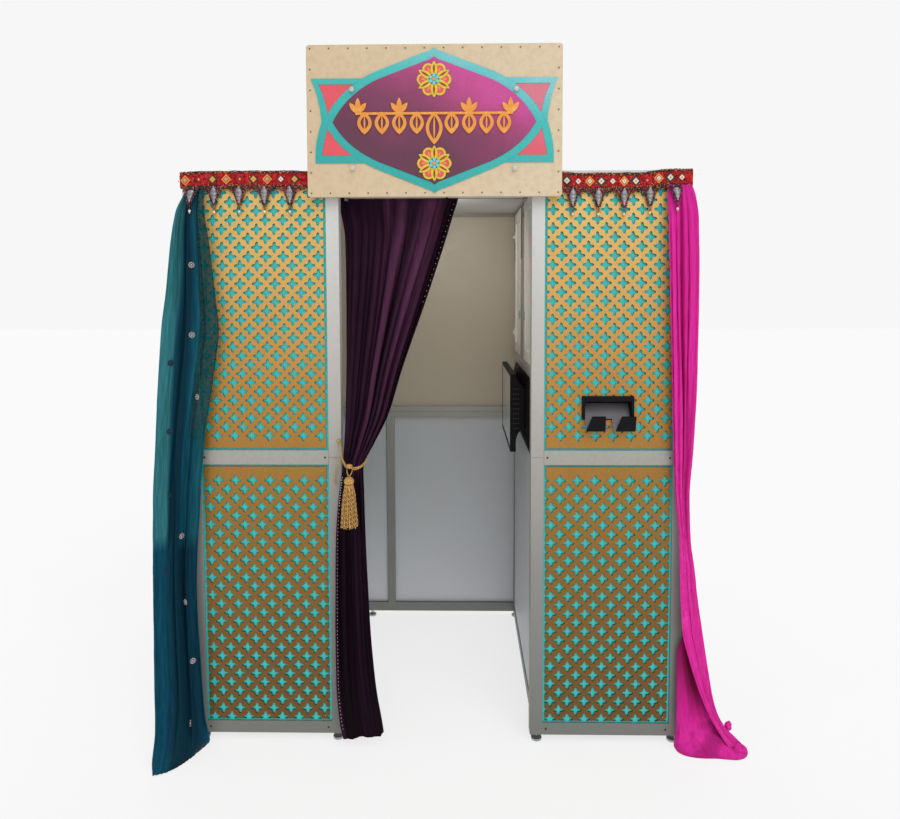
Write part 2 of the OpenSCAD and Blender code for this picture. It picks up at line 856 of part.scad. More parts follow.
teal_sections = [
    [1958, -846, -788, front_y - 50, front_y - 20],
    [1850, -882, -782, front_y - 60, front_y - 20],
    [1780, -890, -770, front_y - 62, front_y - 6],
    [1600, -908, -752, front_y - 68, front_y - 6],
    [1480, -924, -738, front_y - 74, front_y - 6],
    [1300, -940, -764, front_y - 80, front_y - 6],
    [1075, -955, -796, front_y - 84, front_y - 6],
    [890, -966, -812, front_y - 90, front_y - 6],
    [600, cloth_x0, -830, front_y - 100, front_y - 6],
    [300, -968, -822, front_y - 112, front_y - 6],
    [80, -962, -812, front_y - 130, front_y - 6],
    [32, -956, -806, front_y - 160, front_y - 6],
    [18, -950, -820, front_y - 190, front_y - 6],
    [0, -946, -822, front_y - cloth_front, front_y - 6]
];

module teal_drape() {
    color([0.06, 0.3, 0.38]) cloth(teal_sections);
}

magenta_sections = [
    [1962, 772, 880, front_y - 46, front_y - 20],
    [1850, 782, 886, front_y - 52, front_y - 20],
    [1780, 786, 890, front_y - 52, front_y - 6],
    [1600, 792, 896, front_y - 50, front_y - 6],
    [1250, 804, 894, front_y - 50, front_y - 6],
    [1000, 816, 884, front_y - 50, front_y - 6],
    [760, 836, 884, front_y - 52, front_y - 6],
    [560, 842, 900, front_y - 56, front_y - 6],
    [390, 842, 926, front_y - 62, front_y - 6],
    [265, 842, 952, front_y - 66, front_y - 6],
    [140, 840, 972, front_y - 70, front_y - 6],
    [60, 836, 1010, front_y - 74, front_y - 6]
];
// Where the magenta drape spreads on the floor, beside the corner of the booth
magenta_foot = [
    [60, 880, 1010, front_y - 74, front_y - 6],
    [24, 880, 1075, front_y - 80, front_y + 14],
    [0, 880, cloth_x1, front_y - 82, front_y + 22]
];

module magenta_drape() {
    color([0.84, 0.16, 0.6]) {
        cloth(magenta_sections);
        cloth(magenta_foot);
        block([834, front_y - 80, 0], [881, front_y - 6, 60.2]);
    }
}

trim_z0 = 1966;
trim_t = 3;
trim_gap = 2;
trim_wrap = 60;

module mirror_trim() {
    color("firebrick") for (side = [0, 1]) mirror([side, 0, 0]) {
        outer = half_w + trim_gap;
        block([open_half + 98, front_y - trim_gap - trim_t, trim_z0],
            [outer + trim_t, front_y - trim_gap, z_top]);
        block([outer, front_y - trim_gap - trim_t, trim_z0],
            [outer + trim_t, front_y + trim_wrap, z_top]);
    }
}

drop_count = 5;
drop_left = -840;
drop_right = 469;
drop_step = 87;

module bead_drop(x) {
    y = front_y - 9;
    translate([x, y, 0]) {
        translate([0, 0, trim_z0 - 70]) cylinder(h = 70, r = 1.2, $fn = 8);
        translate([0, 0, trim_z0 - 34]) rotate([90, 45, 0]) cube([20, 20, 4], center = true);
        translate([0, 0, trim_z0 - 76]) sphere(r = 5);
        translate([0, 0, trim_z0 - 86]) sphere(r = 6);
    }
}

module bead_drops() {
    color("silver") for (k = [0:drop_count - 1]) {
        bead_drop(drop_left + k * drop_step);
        bead_drop(drop_right + k * drop_step);
    }
}

// ---------- partition: screen, light doors, camera ----------

surround_y = 330;
surround_x = 332;

module monitor_surround() {
    color("silver") translate([0, surround_y, 0]) rotate([90, 0, 0]) linear_extrude(2 * surround_y)
        polygon([[partition_x, surround_low], [partition_x, surround_high],
            [surround_x, surround_high - 45], [surround_x, surround_low + 45]]);
}

monitor_y0 = -255;
monitor_y1 = 245;
monitor_x = 276;

module monitor_profile() {
    polygon(concat([[monitor_x, 994], [298, 994]],
        [for (a = [0:15:90]) [298 + 34 * (1 - cos(a)), 1030 + 52 * sin(a)]],
        [[surround_x, 1239], [301, 1274], [298, 1295], [monitor_x, 1295]]));
}

module monitor_shell() {
    color([0.06, 0.06, 0.07]) difference() {
        translate([0, monitor_y1, 0]) rotate([90, 0, 0]) linear_extrude(monitor_y1 - monitor_y0)
            monitor_profile();
        block([monitor_x - 1, monitor_y0 + 12, 1012], [monitor_x + 3, monitor_y1 - 12, 1283]);
    }
}

module monitor_screen() {
    color([0.6, 0.62, 0.64]) block([monitor_x + 0.8, monitor_y0 + 12.5, 1012.5],
        [monitor_x + 3, monitor_y1 - 12.5, 1282.5]);
}

light_t = 20;
light_rim = 44;

// Leaf of a light door, for an area of the partition's plane
module light_leaf(area) {
    a = area[0];
    inner = [opening(a[0] + door_gap + light_rim, a[2] - door_gap - light_rim,
        a[1] + door_gap + light_rim, a[3] - door_gap - light_rim)];
    on_wall(-90, -partition_x) translate([0, 0, frame_t - light_t]) {
        color("gainsboro") difference() {
            linear_extrude(light_t) difference() {
                openings(area, -door_gap);
                openings(inner, 0);
            }
            translate([0, 0, 11]) linear_extrude(4) openings(inner, 6);
        }
        color("white") translate([0, 0, 11.5]) linear_extrude(3) openings(inner, 5);
    }
}

pull_z = 1512;
pull_front_y = glass_y0 - slim_stile - door_gap - light_rim / 2;
pull_rear_y = glass_y1 + slim_stile + door_gap + light_rim / 2;
pull_shaft_r = 3;

module pull_bore(y) {
    translate([partition_x - 10, y, pull_z]) rotate([0, 90, 0])
        cylinder(h = light_t + 20, r = pull_shaft_r + 0.05);
}

module light_door_front() {
    difference() {
        light_leaf(door_front_area);
        pull_bore(pull_front_y);
    }
    color("silver") for (z = door_hinge_z)
        translate([light_hinge_x, -light_hinge_y, z]) rotate([0, 0, 180])
            hinge_moving(light_knuckle, light_pin, light_hinge_h, light_leaf);
}

module light_door_rear() {
    difference() {
        light_leaf(door_rear_area);
        pull_bore(pull_rear_y);
    }
    color("silver") for (z = door_hinge_z)
        translate([light_hinge_x, light_hinge_y, z]) rotate([0, 0, 180]) mirror([0, 1, 0])
            hinge_moving(light_knuckle, light_pin, light_hinge_h, light_leaf);
}

module turn_latch(y) {
    color("silver") translate([partition_x, y, pull_z]) {
        translate([-5, 0, 0]) rotate([0, 90, 0]) cylinder(h = light_t + 7, r = pull_shaft_r);
        for (z = [-10, 10])
            translate([-4, 0, z]) rotate([0, 90, 0]) cylinder(h = 3.5, r = 7);
        block([-4, -7, -10], [-0.5, 7, 10]);
        block([light_t + 0.5, -4, -18], [light_t + 2, 4, 5]);
    }
}

module latch_front() {
    turn_latch(pull_front_y);
}

module latch_rear() {
    turn_latch(pull_rear_y);
}

camera_y = (glass_y0 + glass_y1) / 2;
camera_z = 1480;
camera_x = 470;
camera_pin = 5;

module camera() {
    color([0.1, 0.1, 0.1]) difference() {
        union() {
            block([camera_x - 35, camera_y - 62, camera_z - 40],
                [camera_x + 35, camera_y + 62, camera_z + 45]);
            translate([camera_x - 75, camera_y, camera_z]) rotate([0, 90, 0]) cylinder(h = 42, r = 30);
            block([camera_x - 12, camera_y - 70, camera_z - 12],
                [camera_x + 12, camera_y + 70, camera_z + 12]);
        }
        translate([camera_x - 76, camera_y, camera_z]) rotate([0, 90, 0]) cylinder(h = 12, r = 22);
        translate([camera_x, camera_y - 71, camera_z]) rotate([-90, 0, 0])
            cylinder(h = 142, r = camera_pin + 0.05);
    }
}

// ---------- machine bay ----------

shelf_z = 1062;
shelf_t = 18;
bay_x0 = partition_x + frame_t;
bay_x1 = half_w - frame_t;

// Shelf for printer and computer, and the yoke that carries the camera
module equipment_shelf() {
    color("silver") {
        block([bay_x0 + 1, -430, shelf_z], [bay_x1 - 1, 330, shelf_z + shelf_t]);
        for (y = [-300, 250]) for (side = [0, 1]) {
            x0 = side == 0 ? bay_x0 : bay_x1 - 30;
            block([x0, y, shelf_z - 6], [x0 + 30, y + 40, shelf_z]);
            block([side == 0 ? bay_x0 : bay_x1 - 4, y, z_mid - 20],
                [side == 0 ? bay_x0 + 4 : bay_x1, y + 40, shelf_z]);
        }
        for (side = [-1, 1])
            block([camera_x - 14, camera_y + side * 78 - 4, shelf_z + shelf_t],
                [camera_x + 14, camera_y + side * 78 + 4, camera_z + 16]);
        translate([camera_x, camera_y - 82, camera_z]) rotate([-90, 0, 0])
            cylinder(h = 164, r = camera_pin);
    }
}

printer_x = [470, 770];
printer_y = [front_y + frame_t + 12, -120];

module printer() {
    top = shelf_z + shelf_t + 178;
    color([0.16, 0.17, 0.18]) difference() {
        block([printer_x[0], printer_y[0], shelf_z + shelf_t], [printer_x[1], printer_y[1], top]);
        block([chute_x0 + 17, printer_y[0] - 1, print_slot_z[0]],
            [chute_x1 - 13, printer_y[0] + 60, print_slot_z[1]]);
        block([printer_x[0] + 20, printer_y[0] - 1, shelf_z + shelf_t + 8],
            [printer_x[1] - 20, printer_y[0] + 2, shelf_z + shelf_t + 60]);
    }
}

module computer() {
    color([0.2, 0.21, 0.22]) difference() {
        block([560, -80, shelf_z + shelf_t], [790, 260, shelf_z + shelf_t + 92]);
        for (k = [0:9])
            block([790 - 3, -40 + k * 28, shelf_z + shelf_t + 20],
                [791, -26 + k * 28, shelf_z + shelf_t + 70]);
    }
}

blade_count = 7;
fan_y = back_y - 58;

module vent_fan() {
    color([0.12, 0.12, 0.12]) translate([fan_x, fan_y, fan_z]) rotate([-90, 0, 0]) {
        difference() {
            cylinder(h = 22, r = 20);
            translate([0, 0, -1]) cylinder(h = 24, r = 4.05);
        }
        for (k = [0:blade_count - 1]) rotate([0, 0, k * 360 / blade_count])
            translate([18, 0, 11]) rotate([35, 0, 0]) translate([0, -14, -1.2]) cube([34, 28, 2.4]);
    }
}

// Fan guard with its motor spider, and the power inlet plate
module rear_plates() {
    outside_y = back_y - frame_t + wall_panel_z + panel_t;
    color([0.15, 0.15, 0.16]) {
        translate([fan_x, outside_y, fan_z]) rotate([-90, 0, 0]) {
            difference() {
                translate([-75, -75, 0]) cube([150, 150, 3]);
                for (r = [24, 36, 48]) difference() {
                    translate([0, 0, -1]) cylinder(h = 5, r = r + 9);
                    translate([0, 0, -2]) cylinder(h = 7, r = r);
                    for (k = [0:3]) rotate([0, 0, 45 + 90 * k]) translate([0, -3, -2]) cube([70, 6, 7]);
                }
            }
            translate([0, 0, fan_y - outside_y - 3]) cylinder(h = outside_y - fan_y + 4, r = 4);
        }
        difference() {
            block([fan_x - 45, outside_y, inlet_z - 30], [fan_x + 45, outside_y + 3, inlet_z + 30]);
            block([fan_x - 26, outside_y - 1, inlet_z - 14], [fan_x + 2, outside_y + 4, inlet_z + 14]);
            block([fan_x + 10, outside_y - 1, inlet_z - 13], [fan_x + 26, outside_y + 4, inlet_z + 13]);
        }
        difference() {
            block([fan_x - 27, outside_y - 18, inlet_z - 15], [fan_x + 27, outside_y + eps, inlet_z + 15]);
            block([fan_x - 25, outside_y - 16, inlet_z - 13], [fan_x + 1, outside_y + 1, inlet_z + 13]);
            block([fan_x + 10, outside_y - 16, inlet_z - 13], [fan_x + 26, outside_y + 1, inlet_z + 13]);
        }
    }
}

module power_switch() {
    outside_y = back_y - frame_t + wall_panel_z + panel_t;
    color("firebrick") intersection() {
        translate([fan_x + 11, outside_y - 4, inlet_z]) rotate([0, 90, 0]) cylinder(h = 14, r = 11.5);
        block([fan_x + 11, outside_y - 6, inlet_z - 12], [fan_x + 25, outside_y + 6, inlet_z + 12]);
    }
}

// ---------- bench ----------

bench_wall = -half_w + frame_t;
ledger_w = 21;
bench_hinge_x = bench_wall + ledger_w + 3;
bench_hinge_z = bench_z + 5;
bench_y = 400;
bench_front = bench_hinge_x + 3 + bench_d;

// Bench hinges lie along Y, so the hinge shapes are laid over on the board's upper face
module along_bench(y) {
    translate([bench_hinge_x, y, bench_hinge_z]) rotate([90, 0, 0]) rotate([0, 0, 90]) children();
}

module bench_brackets() {
    color("gray") {
        block([bench_wall, -inner_d / 2, bench_z - 43], [bench_wall + ledger_w, inner_d / 2, bench_z]);
        for (y = [-290, 290]) {
            translate([0, y + 6, 0]) rotate([90, 0, 0]) linear_extrude(12)
                polygon([[bench_wall, 150], [bench_wall + 18, 150], [bench_front - 50, bench_z - 34],
                    [bench_front - 50, bench_z - 19], [bench_wall + ledger_w + 1, bench_z - 19],
                    [bench_wall + ledger_w + 1, bench_z - 60], [bench_wall, bench_z - 60]]);
            along_bench(y) hinge_fixed(4, 2, 45, 20);
        }
    }
}

module bench_board() {
    color("burlywood") block([bench_hinge_x + 3, -bench_y, bench_z - 18], [bench_front, bench_y, bench_z]);
    color("silver") for (y = [-290, 290]) along_bench(y) hinge_moving(4, 2, 45, 20);
}

module bench_cushion() {
    color("black")
        block([bench_hinge_x + 32, -bench_y + 6, bench_z + 0.5],
            [bench_front - 4, bench_y - 6, bench_z + 42]);
}

placed() front_left_lower();
placed() front_left_upper();
placed() front_right_lower();
placed() front_right_upper();
placed() left_wall_frames();
placed() back_wall_frames();
placed() right_wall_frames();
placed() partition_frames();
placed() top_beams();
placed() roof_panel();
placed() wall_panels();
placed() partition_panels();
placed() camera_window();
placed() front_backings();
placed() frets_lower();
placed() frets_upper();
placed() fret_pins();
placed() mid_rail_covers();
placed() frame_screws();
placed() levelling_feet();
placed() service_door_frame();
placed() service_door_skin();
placed() service_hinges();
placed() door_lock();
placed() chute_bezel();
placed() chute_tray();
placed() sign_board();
placed() sign_battens();
placed() sign_band();
placed() sign_coral();
placed() sign_medallion();
placed() sign_ornament();
placed() sign_rosettes();
placed() sign_caps();
placed() sign_pins();
placed() curtain_rod();
placed() curtain();
placed() tieback();
placed() tassel();
placed() teal_drape();
placed() magenta_drape();
placed() mirror_trim();
placed() bead_drops();
placed() monitor_surround();
placed() monitor_shell();
placed() monitor_screen();
placed() light_door_front();
placed() light_door_rear();
placed() latch_front();
placed() latch_rear();
placed() camera();
placed() printer();
placed() equipment_shelf();
placed() computer();
placed() vent_fan();
placed() rear_plates();
placed() power_switch();
placed() bench_board();
placed() bench_cushion();
placed() bench_brackets();
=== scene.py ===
"""Looks for a walk-in photo booth: fretwork front, painted sign, draped cloths, beads and tassel.

Lengths in this script are millimetres, counted from the middle of the booth's front edge on the
floor: x to the right, y towards the back, z up. at() turns them into metres in the row frame.
"""

import math
import random

import bmesh
import bpy
from mathutils import Matrix, Vector, noise
from mathutils.bvhtree import BVHTree


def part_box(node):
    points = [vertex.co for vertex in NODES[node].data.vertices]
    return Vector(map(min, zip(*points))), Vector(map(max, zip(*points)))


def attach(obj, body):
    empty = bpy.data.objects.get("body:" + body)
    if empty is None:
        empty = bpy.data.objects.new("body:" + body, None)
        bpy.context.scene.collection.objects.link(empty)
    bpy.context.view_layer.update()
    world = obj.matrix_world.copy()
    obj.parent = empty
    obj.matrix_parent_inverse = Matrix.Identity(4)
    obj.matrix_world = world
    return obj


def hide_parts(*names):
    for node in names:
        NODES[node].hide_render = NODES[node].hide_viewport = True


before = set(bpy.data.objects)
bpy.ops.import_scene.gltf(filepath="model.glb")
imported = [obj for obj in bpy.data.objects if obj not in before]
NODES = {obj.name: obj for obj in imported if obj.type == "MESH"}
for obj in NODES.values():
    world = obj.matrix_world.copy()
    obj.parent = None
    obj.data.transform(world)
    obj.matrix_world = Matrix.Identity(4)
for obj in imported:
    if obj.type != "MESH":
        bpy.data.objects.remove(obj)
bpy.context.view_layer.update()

MM = 0.001
TAU = 2 * math.pi
LEFT_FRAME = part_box("front_left_lower")
RIGHT_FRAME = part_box("front_right_lower")
MIDDLE_X = (LEFT_FRAME[0].x + RIGHT_FRAME[1].x) / 2
FRONT_Y = LEFT_FRAME[0].y


def at(x, y, z):
    """This script's millimetres as a place in the row frame."""
    return Vector((MIDDLE_X + x * MM, FRONT_Y + y * MM, z * MM))


def local_box(node):
    """A CAD node's corners in this script's millimetres."""
    low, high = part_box(node)
    base = at(0, 0, 0)
    return (low - base) / MM, (high - base) / MM


def lerp(a, b, t):
    return a + (b - a) * t


def clamp(value, low=0.0, high=1.0):
    return max(low, min(high, value))


def smooth(edge0, edge1, value):
    t = clamp((value - edge0) / (edge1 - edge0))
    return t * t * (3 - 2 * t)


# ---------- materials ----------

def rgb(r, g, b):
    """A colour given on the 0 to 255 display scale, as linear values."""
    def linear(c):
        c = c / 255
        return c / 12.92 if c <= 0.04045 else ((c + 0.055) / 1.055) ** 2.4
    return (linear(r), linear(g), linear(b), 1.0)


def scaled(colour, share):
    """A colour made darker or lighter by a factor."""
    return tuple(min(1.0, c * share) for c in colour[:3]) + (1.0,)


class Look:
    """A Principled material being built; its textures use the piece's own coordinates."""

    def __init__(self, name, rough=0.5, metal=0.0):
        self.mat = bpy.data.materials.new(name)
        self.mat.use_nodes = True
        self.tree = self.mat.node_tree
        self.shader = self.tree.nodes["Principled BSDF"]
        self.coord = self.add("ShaderNodeTexCoord").outputs["Object"]
        self.axes = self.split(self.coord)
        self.set("Roughness", rough)
        self.set("Metallic", metal)

    def split(self, vector):
        node = self.add("ShaderNodeSeparateXYZ")
        self.link(vector, node.inputs[0])
        return node.outputs

    def across_cloth(self):
        """Places across and down a sheet of cloth, each from 0 to 1."""
        axes = self.split(self.add("ShaderNodeTexCoord").outputs["UV"])
        return axes["X"], axes["Y"]

    def hollows(self, reach, power=1.0, lean=None):
        """A mask for painted shade: 1 in the open, falling to 0 in creases; leaning looks for cover in one
        direction.
        """
        node = self.add("ShaderNodeAmbientOcclusion", samples=8)
        node.inputs["Distance"].default_value = reach * MM
        if lean:
            tilt = self.add("ShaderNodeCombineXYZ")
            for socket, value in zip(tilt.inputs, lean):
                socket.default_value = value
            self.link(tilt.outputs[0], node.inputs["Normal"])
        return self.math("POWER", node.outputs["AO"], power)

    def add(self, kind, **props):
        node = self.tree.nodes.new(kind)
        for key, value in props.items():
            setattr(node, key, value)
        return node

    def link(self, source, target):
        self.tree.links.new(source, target)

    def feed(self, target, value):
        if isinstance(value, bpy.types.NodeSocket):
            self.link(value, target)
        else:
            target.default_value = value

    def set(self, name, value):
        self.feed(self.shader.inputs[name], value)

    def stretched(self, x, y, z):
        node = self.add("ShaderNodeMapping")
        self.link(self.coord, node.inputs["Vector"])
        node.inputs["Scale"].default_value = (x, y, z)
        return node.outputs[0]

    def noise(self, scale, detail=3.0, vector=None, rough=0.5):
        node = self.add("ShaderNodeTexNoise")
        self.link(vector or self.coord, node.inputs["Vector"])
        node.inputs["Scale"].default_value = scale
        node.inputs["Detail"].default_value = detail
        node.inputs["Roughness"].default_value = rough
        return node.outputs["Fac"]

    def cells(self, scale, vector=None):
        node = self.add("ShaderNodeTexVoronoi")
        self.link(vector or self.coord, node.inputs["Vector"])
        node.inputs["Scale"].default_value = scale
        return node.outputs["Distance"]

    def weave(self, pitch_mm):
        """Over and under threads: two crossed waves."""
        out = []
        for direction in ("X", "Z"):
            node = self.add("ShaderNodeTexWave", bands_direction=direction)
            self.link(self.coord, node.inputs["Vector"])
            node.inputs["Scale"].default_value = 1000 / pitch_mm / 20 * math.pi
            out.append(node.outputs["Fac"])
        return self.math("MULTIPLY", out[0], out[1])

    def ramp(self, value, stops):
        node = self.add("ShaderNodeValToRGB")
        self.feed(node.inputs[0], value)
        items = node.color_ramp.elements
        while len(items) < len(stops):
            items.new(0.5)
        for item, (place, colour) in zip(items, stops):
            item.position = place
            item.color = colour if len(colour) == 4 else (*colour, 1.0)
        return node.outputs["Color"]

    def math(self, operation, a, b=0.0, c=0.0):
        node = self.add("ShaderNodeMath", operation=operation)
        for target, value in zip(node.inputs, (a, b, c)):
            self.feed(target, value)
        return node.outputs[0]

    def product(self, *factors):
        result = factors[0]
        for factor in factors[1:]:
            result = self.math("MULTIPLY", result, factor)
        return result

    def spread(self, value, low, high, new_low=0.0, new_high=1.0):
        node = self.add("ShaderNodeMapRange")
        for target, item in zip(node.inputs, (value, low, high, new_low, new_high)):
            self.feed(target, item)
        return node.outputs[0]

    def uneven(self, scale, detail, low, high):
        """Roughness that varies in patches between two values."""
        self.set("Roughness", self.spread(self.noise(scale, detail), 0.3, 0.7, low, high))

    def shaded(self, tone, *factors):
        """A colour made lighter or darker by numbers."""
        amount = self.ramp(self.product(*factors), [(0.0, (0, 0, 0)), (1.0, (1, 1, 1))])
        return self.mix(1.0, tone, amount, "MULTIPLY")

    def wandering(self, across, scale, amount):
        """The place across a cloth, drifting slowly to either side on the way down."""
        drift = self.noise(scale, 2, self.stretched(0.2, 0.2, 1))
        return self.math("MULTIPLY_ADD", self.math("SUBTRACT", drift, 0.5), amount, across)

    def mix(self, factor, a, b, how="MIX"):
        node = self.add("ShaderNodeMix", data_type="RGBA", blend_type=how)
        for target, value in ((node.inputs[0], factor), (node.inputs[6], a), (node.inputs[7], b)):
            self.feed(target, value)
        return node.outputs[2]

    def bump(self, height, strength=0.3, distance=0.4):
        node = self.add("ShaderNodeBump")
        node.inputs["Strength"].default_value = strength
        node.inputs["Distance"].default_value = distance * MM
        self.link(height, node.inputs["Height"])
        self.set("Normal", node.outputs[0])

    def inside(self, low, high):
        """1 inside a box given in millimetres, 0 outside it."""
        result = 1.0
        for axis, a, b in zip(self.axes, at(*low), at(*high)):
            over = self.math("GREATER_THAN", axis, a)
            under = self.math("LESS_THAN", axis, b)
            result = self.product(result, over, under)
        return result

    def worn(self, base, edge, amount=0.6):
        """Lets another colour through on rubbed edges."""
        geometry = self.add("ShaderNodeNewGeometry")
        rubbed = self.spread(geometry.outputs["Pointiness"], 0.52, 0.58)
        patches = self.spread(self.noise(60, 4), 0.42, 0.62)
        return self.mix(self.product(rubbed, patches, amount), base, edge)


FLOOR_TO_TOP = 2.02


def height_of(look):
    return look.spread(look.axes["Z"], 0.0, FLOOR_TO_TOP)


def frame_paint():
    """Grey paint with painted light, paler towards the top as lit from above, and painted shade on the top
    rail indoors.
    """
    look = Look("frame_paint", 0.45, 0.1)
    # Painted light: paler towards the top, darker towards the floor, as lit from above.
    tone = look.ramp(height_of(look), [
        (0.03, rgb(112, 113, 108)), (0.30, rgb(136, 135, 132)), (0.52, rgb(166, 163, 156)),
        (0.72, rgb(190, 188, 181)), (0.95, rgb(214, 213, 211))])
    tone = look.shaded(tone, look.spread(look.noise(5, 3), 0.35, 0.65, 0.975, 1.01))
    _, high = local_box("back_wall_frames")
    # Painted shade on the top rail indoors.
    shaded_rail = look.inside((-440, 300, 1750), (440, high.y - 4, high.z - 4))
    tone = look.mix(look.product(shaded_rail, 0.85), tone, rgb(122, 114, 98))
    scuff = look.spread(look.noise(22, 8, look.stretched(1, 1, 0.25), 0.65), 0.60, 0.72)
    tone = look.mix(look.product(scuff, 0.06), tone, rgb(118, 114, 106))
    look.set("Base Color", look.worn(tone, rgb(92, 90, 86), 0.1))
    look.uneven(40, 4, 0.4, 0.52)
    look.bump(look.noise(900, 2), 0.12, 0.15)
    return look.mat


def gold_paint():
    """Gold on board, with painted light darker towards the floor; the cut sides are darker raw board with
    painted shade on them.
    """
    look = Look("gold_paint", 0.45, 0.35)
    # Painted light: paler towards the top, darker towards the floor, as lit from above.
    tone = look.ramp(height_of(look), [
        (0.04, rgb(106, 73, 22)), (0.22, rgb(127, 88, 28)), (0.42, rgb(150, 109, 40)),
        (0.62, rgb(183, 131, 56)), (0.80, rgb(214, 168, 92)), (0.97, rgb(228, 190, 112))])
    fibre = look.spread(look.noise(160, 5), 0.3, 0.7, 0.86, 1.1)
    shade = look.spread(look.noise(9, 4), 0.3, 0.7, 0.93, 1.06)
    tone = look.shaded(tone, fibre, shade)
    # The cut sides: darker raw board, deepened with painted shade.
    geometry = look.add("ShaderNodeNewGeometry")
    facing = look.split(geometry.outputs["Normal"])["Y"]
    side = look.spread(look.math("ABSOLUTE", facing), 0.35, 0.75, 1.0, 0.0)
    tone = look.mix(look.product(side, 0.82), tone, rgb(44, 28, 12))
    look.set("Base Color", tone)
    look.uneven(200, 3, 0.38, 0.58)
    look.bump(look.noise(420, 4), 0.22, 0.25)
    return look.mat


def painted(name, colour, rough=0.45, vary=0.06, grain=300, edge=None, metal=0.0):
    """Brushed or sprayed paint with a faint cloudiness, a fine bump and rubbed edges."""
    look = Look(name, rough, metal)
    dark, light = scaled(colour, 1 - 2.2 * vary), scaled(colour, 1 + vary)
    cloud = look.mix(look.noise(14, 6), dark, light)
    tone = look.mix(look.spread(look.noise(grain, 3), 0.3, 0.7, 0.0, 0.35), cloud, dark)
    if edge:
        tone = look.worn(tone, edge)
    look.set("Base Color", tone)
    look.uneven(50, 4, rough * 0.85, rough * 1.2)
    look.bump(look.noise(grain * 2, 3), 0.15, 0.2)
    return look.mat


def backing_paint():
    """Turquoise, with painted shadow under the upper and right edges of the cut crosses."""
    look = Look("turquoise_board", 0.4)
    cloud = look.mix(look.noise(14, 6), rgb(44, 186, 180), rgb(52, 198, 192))
    # Painted shadow: occlusion looked for upwards and to the right darkens the board under the crosses'
    # edges.
    cover = look.spread(look.hollows(6, 1.0, (0.40, -0.55, 0.73)), 0.24, 0.54)
    look.set("Base Color", look.mix(cover, rgb(8, 48, 54), cloud))
    look.uneven(50, 4, 0.34, 0.5)
    look.bump(look.noise(440, 3), 0.15, 0.2)
    return look.mat


def panel_white():
    """White sheet; indoors it is warm above the middle rail and cool below it."""
    look = Look("panel_white", 0.5)
    tone = look.ramp(height_of(look), [
        (0.05, rgb(190, 192, 197)), (0.48, rgb(190, 192, 194)), (0.53, rgb(190, 176, 154)),
        (0.95, rgb(192, 178, 157))])
    low, high = local_box("wall_panels")
    skin = 1.5
    indoors = look.inside((low.x + skin, low.y, -10), (high.x - skin, high.y - skin, high.z))
    tone = look.mix(indoors, rgb(206, 206, 203), tone)
    tone = look.mix(look.spread(look.noise(5, 3), 0.35, 0.7, 0.0, 0.1), tone, rgb(170, 166, 158))
    look.set("Base Color", tone)
    look.uneven(24, 5, 0.4, 0.6)
    look.bump(look.noise(700, 3), 0.12, 0.2)
    return look.mat


def metal(name, colour, rough, brushed=True):
    look = Look(name, rough, 1.0)
    vector = look.stretched(1, 1, 0.05) if brushed else None
    streak = look.noise(260, 3, vector)
    look.set("Base Color", look.mix(look.spread(streak, 0.3, 0.7, 0, 0.5), colour, scaled(colour, 0.72)))
    look.set("Roughness", look.spread(streak, 0.3, 0.7, rough * 0.8, rough * 1.35))
    look.bump(streak, 0.08, 0.1)
    return look.mat


def plastic(name, colour, rough=0.4, grain=700, dusty=0.14, shine=0.5):
    look = Look(name, rough)
    look.set("Specular IOR Level", shine)
    pits = look.noise(grain, 2)
    dust = look.spread(look.noise(18, 6), 0.45, 0.75, 0.0, dusty)
    look.set("Base Color", look.mix(dust, colour, rgb(120, 116, 110)))
    look.set("Roughness", look.spread(pits, 0.3, 0.7, rough * 0.85, rough * 1.25))
    look.bump(pits, 0.18, 0.15)
    return look.mat


def board_paint():
    """Sand-coloured board, a little paler to the right."""
    look = Look("board_paint", 0.55)
    low, high = local_box("sign_board")
    across = look.spread(look.axes["X"], at(low.x, 0, 0).x, at(high.x, 0, 0).x)
    warm = look.mix(across, rgb(210, 187, 152), rgb(218, 198, 167))
    fleck = look.spread(look.noise(420, 4), 0.55, 0.75, 0.0, 0.16)
    tone = look.mix(fleck, warm, rgb(196, 170, 130))
    look.set("Base Color", look.worn(tone, rgb(176, 150, 114), 0.4))
    look.uneven(60, 4, 0.45, 0.65)
    look.bump(look.noise(380, 4), 0.2, 0.25)
    return look.mat


def painted_highlight_across(name, stops, rough=0.3, along=0.75, rise=0.45):
    """Glossy paint with a painted highlight: its colour grows paler from the lower left to the upper right
    of the sign.
    """
    look = Look(name, rough)
    low, high = local_box("sign_board")
    across = look.spread(look.axes["X"], at(low.x, 0, 0).x, at(high.x, 0, 0).x)
    up = look.spread(look.axes["Z"], low.z * MM, high.z * MM)
    # Painted highlight: the colour is paler towards the upper right, where the light falls.
    drift = look.math("MULTIPLY_ADD", up, rise, look.math("MULTIPLY", across, along))
    drift = look.math("ADD", drift, look.spread(look.noise(5, 4), 0.3, 0.7, -0.12, 0.02))
    tone = look.ramp(drift, stops)
    tone = look.mix(look.spread(look.noise(240, 4), 0.4, 0.75, 0.0, 0.22), tone, rgb(70, 40, 50))
    look.set("Base Color", tone)
    look.set("Coat Weight", 0.25)
    look.bump(look.noise(300, 3), 0.1, 0.15)
    return look.mat


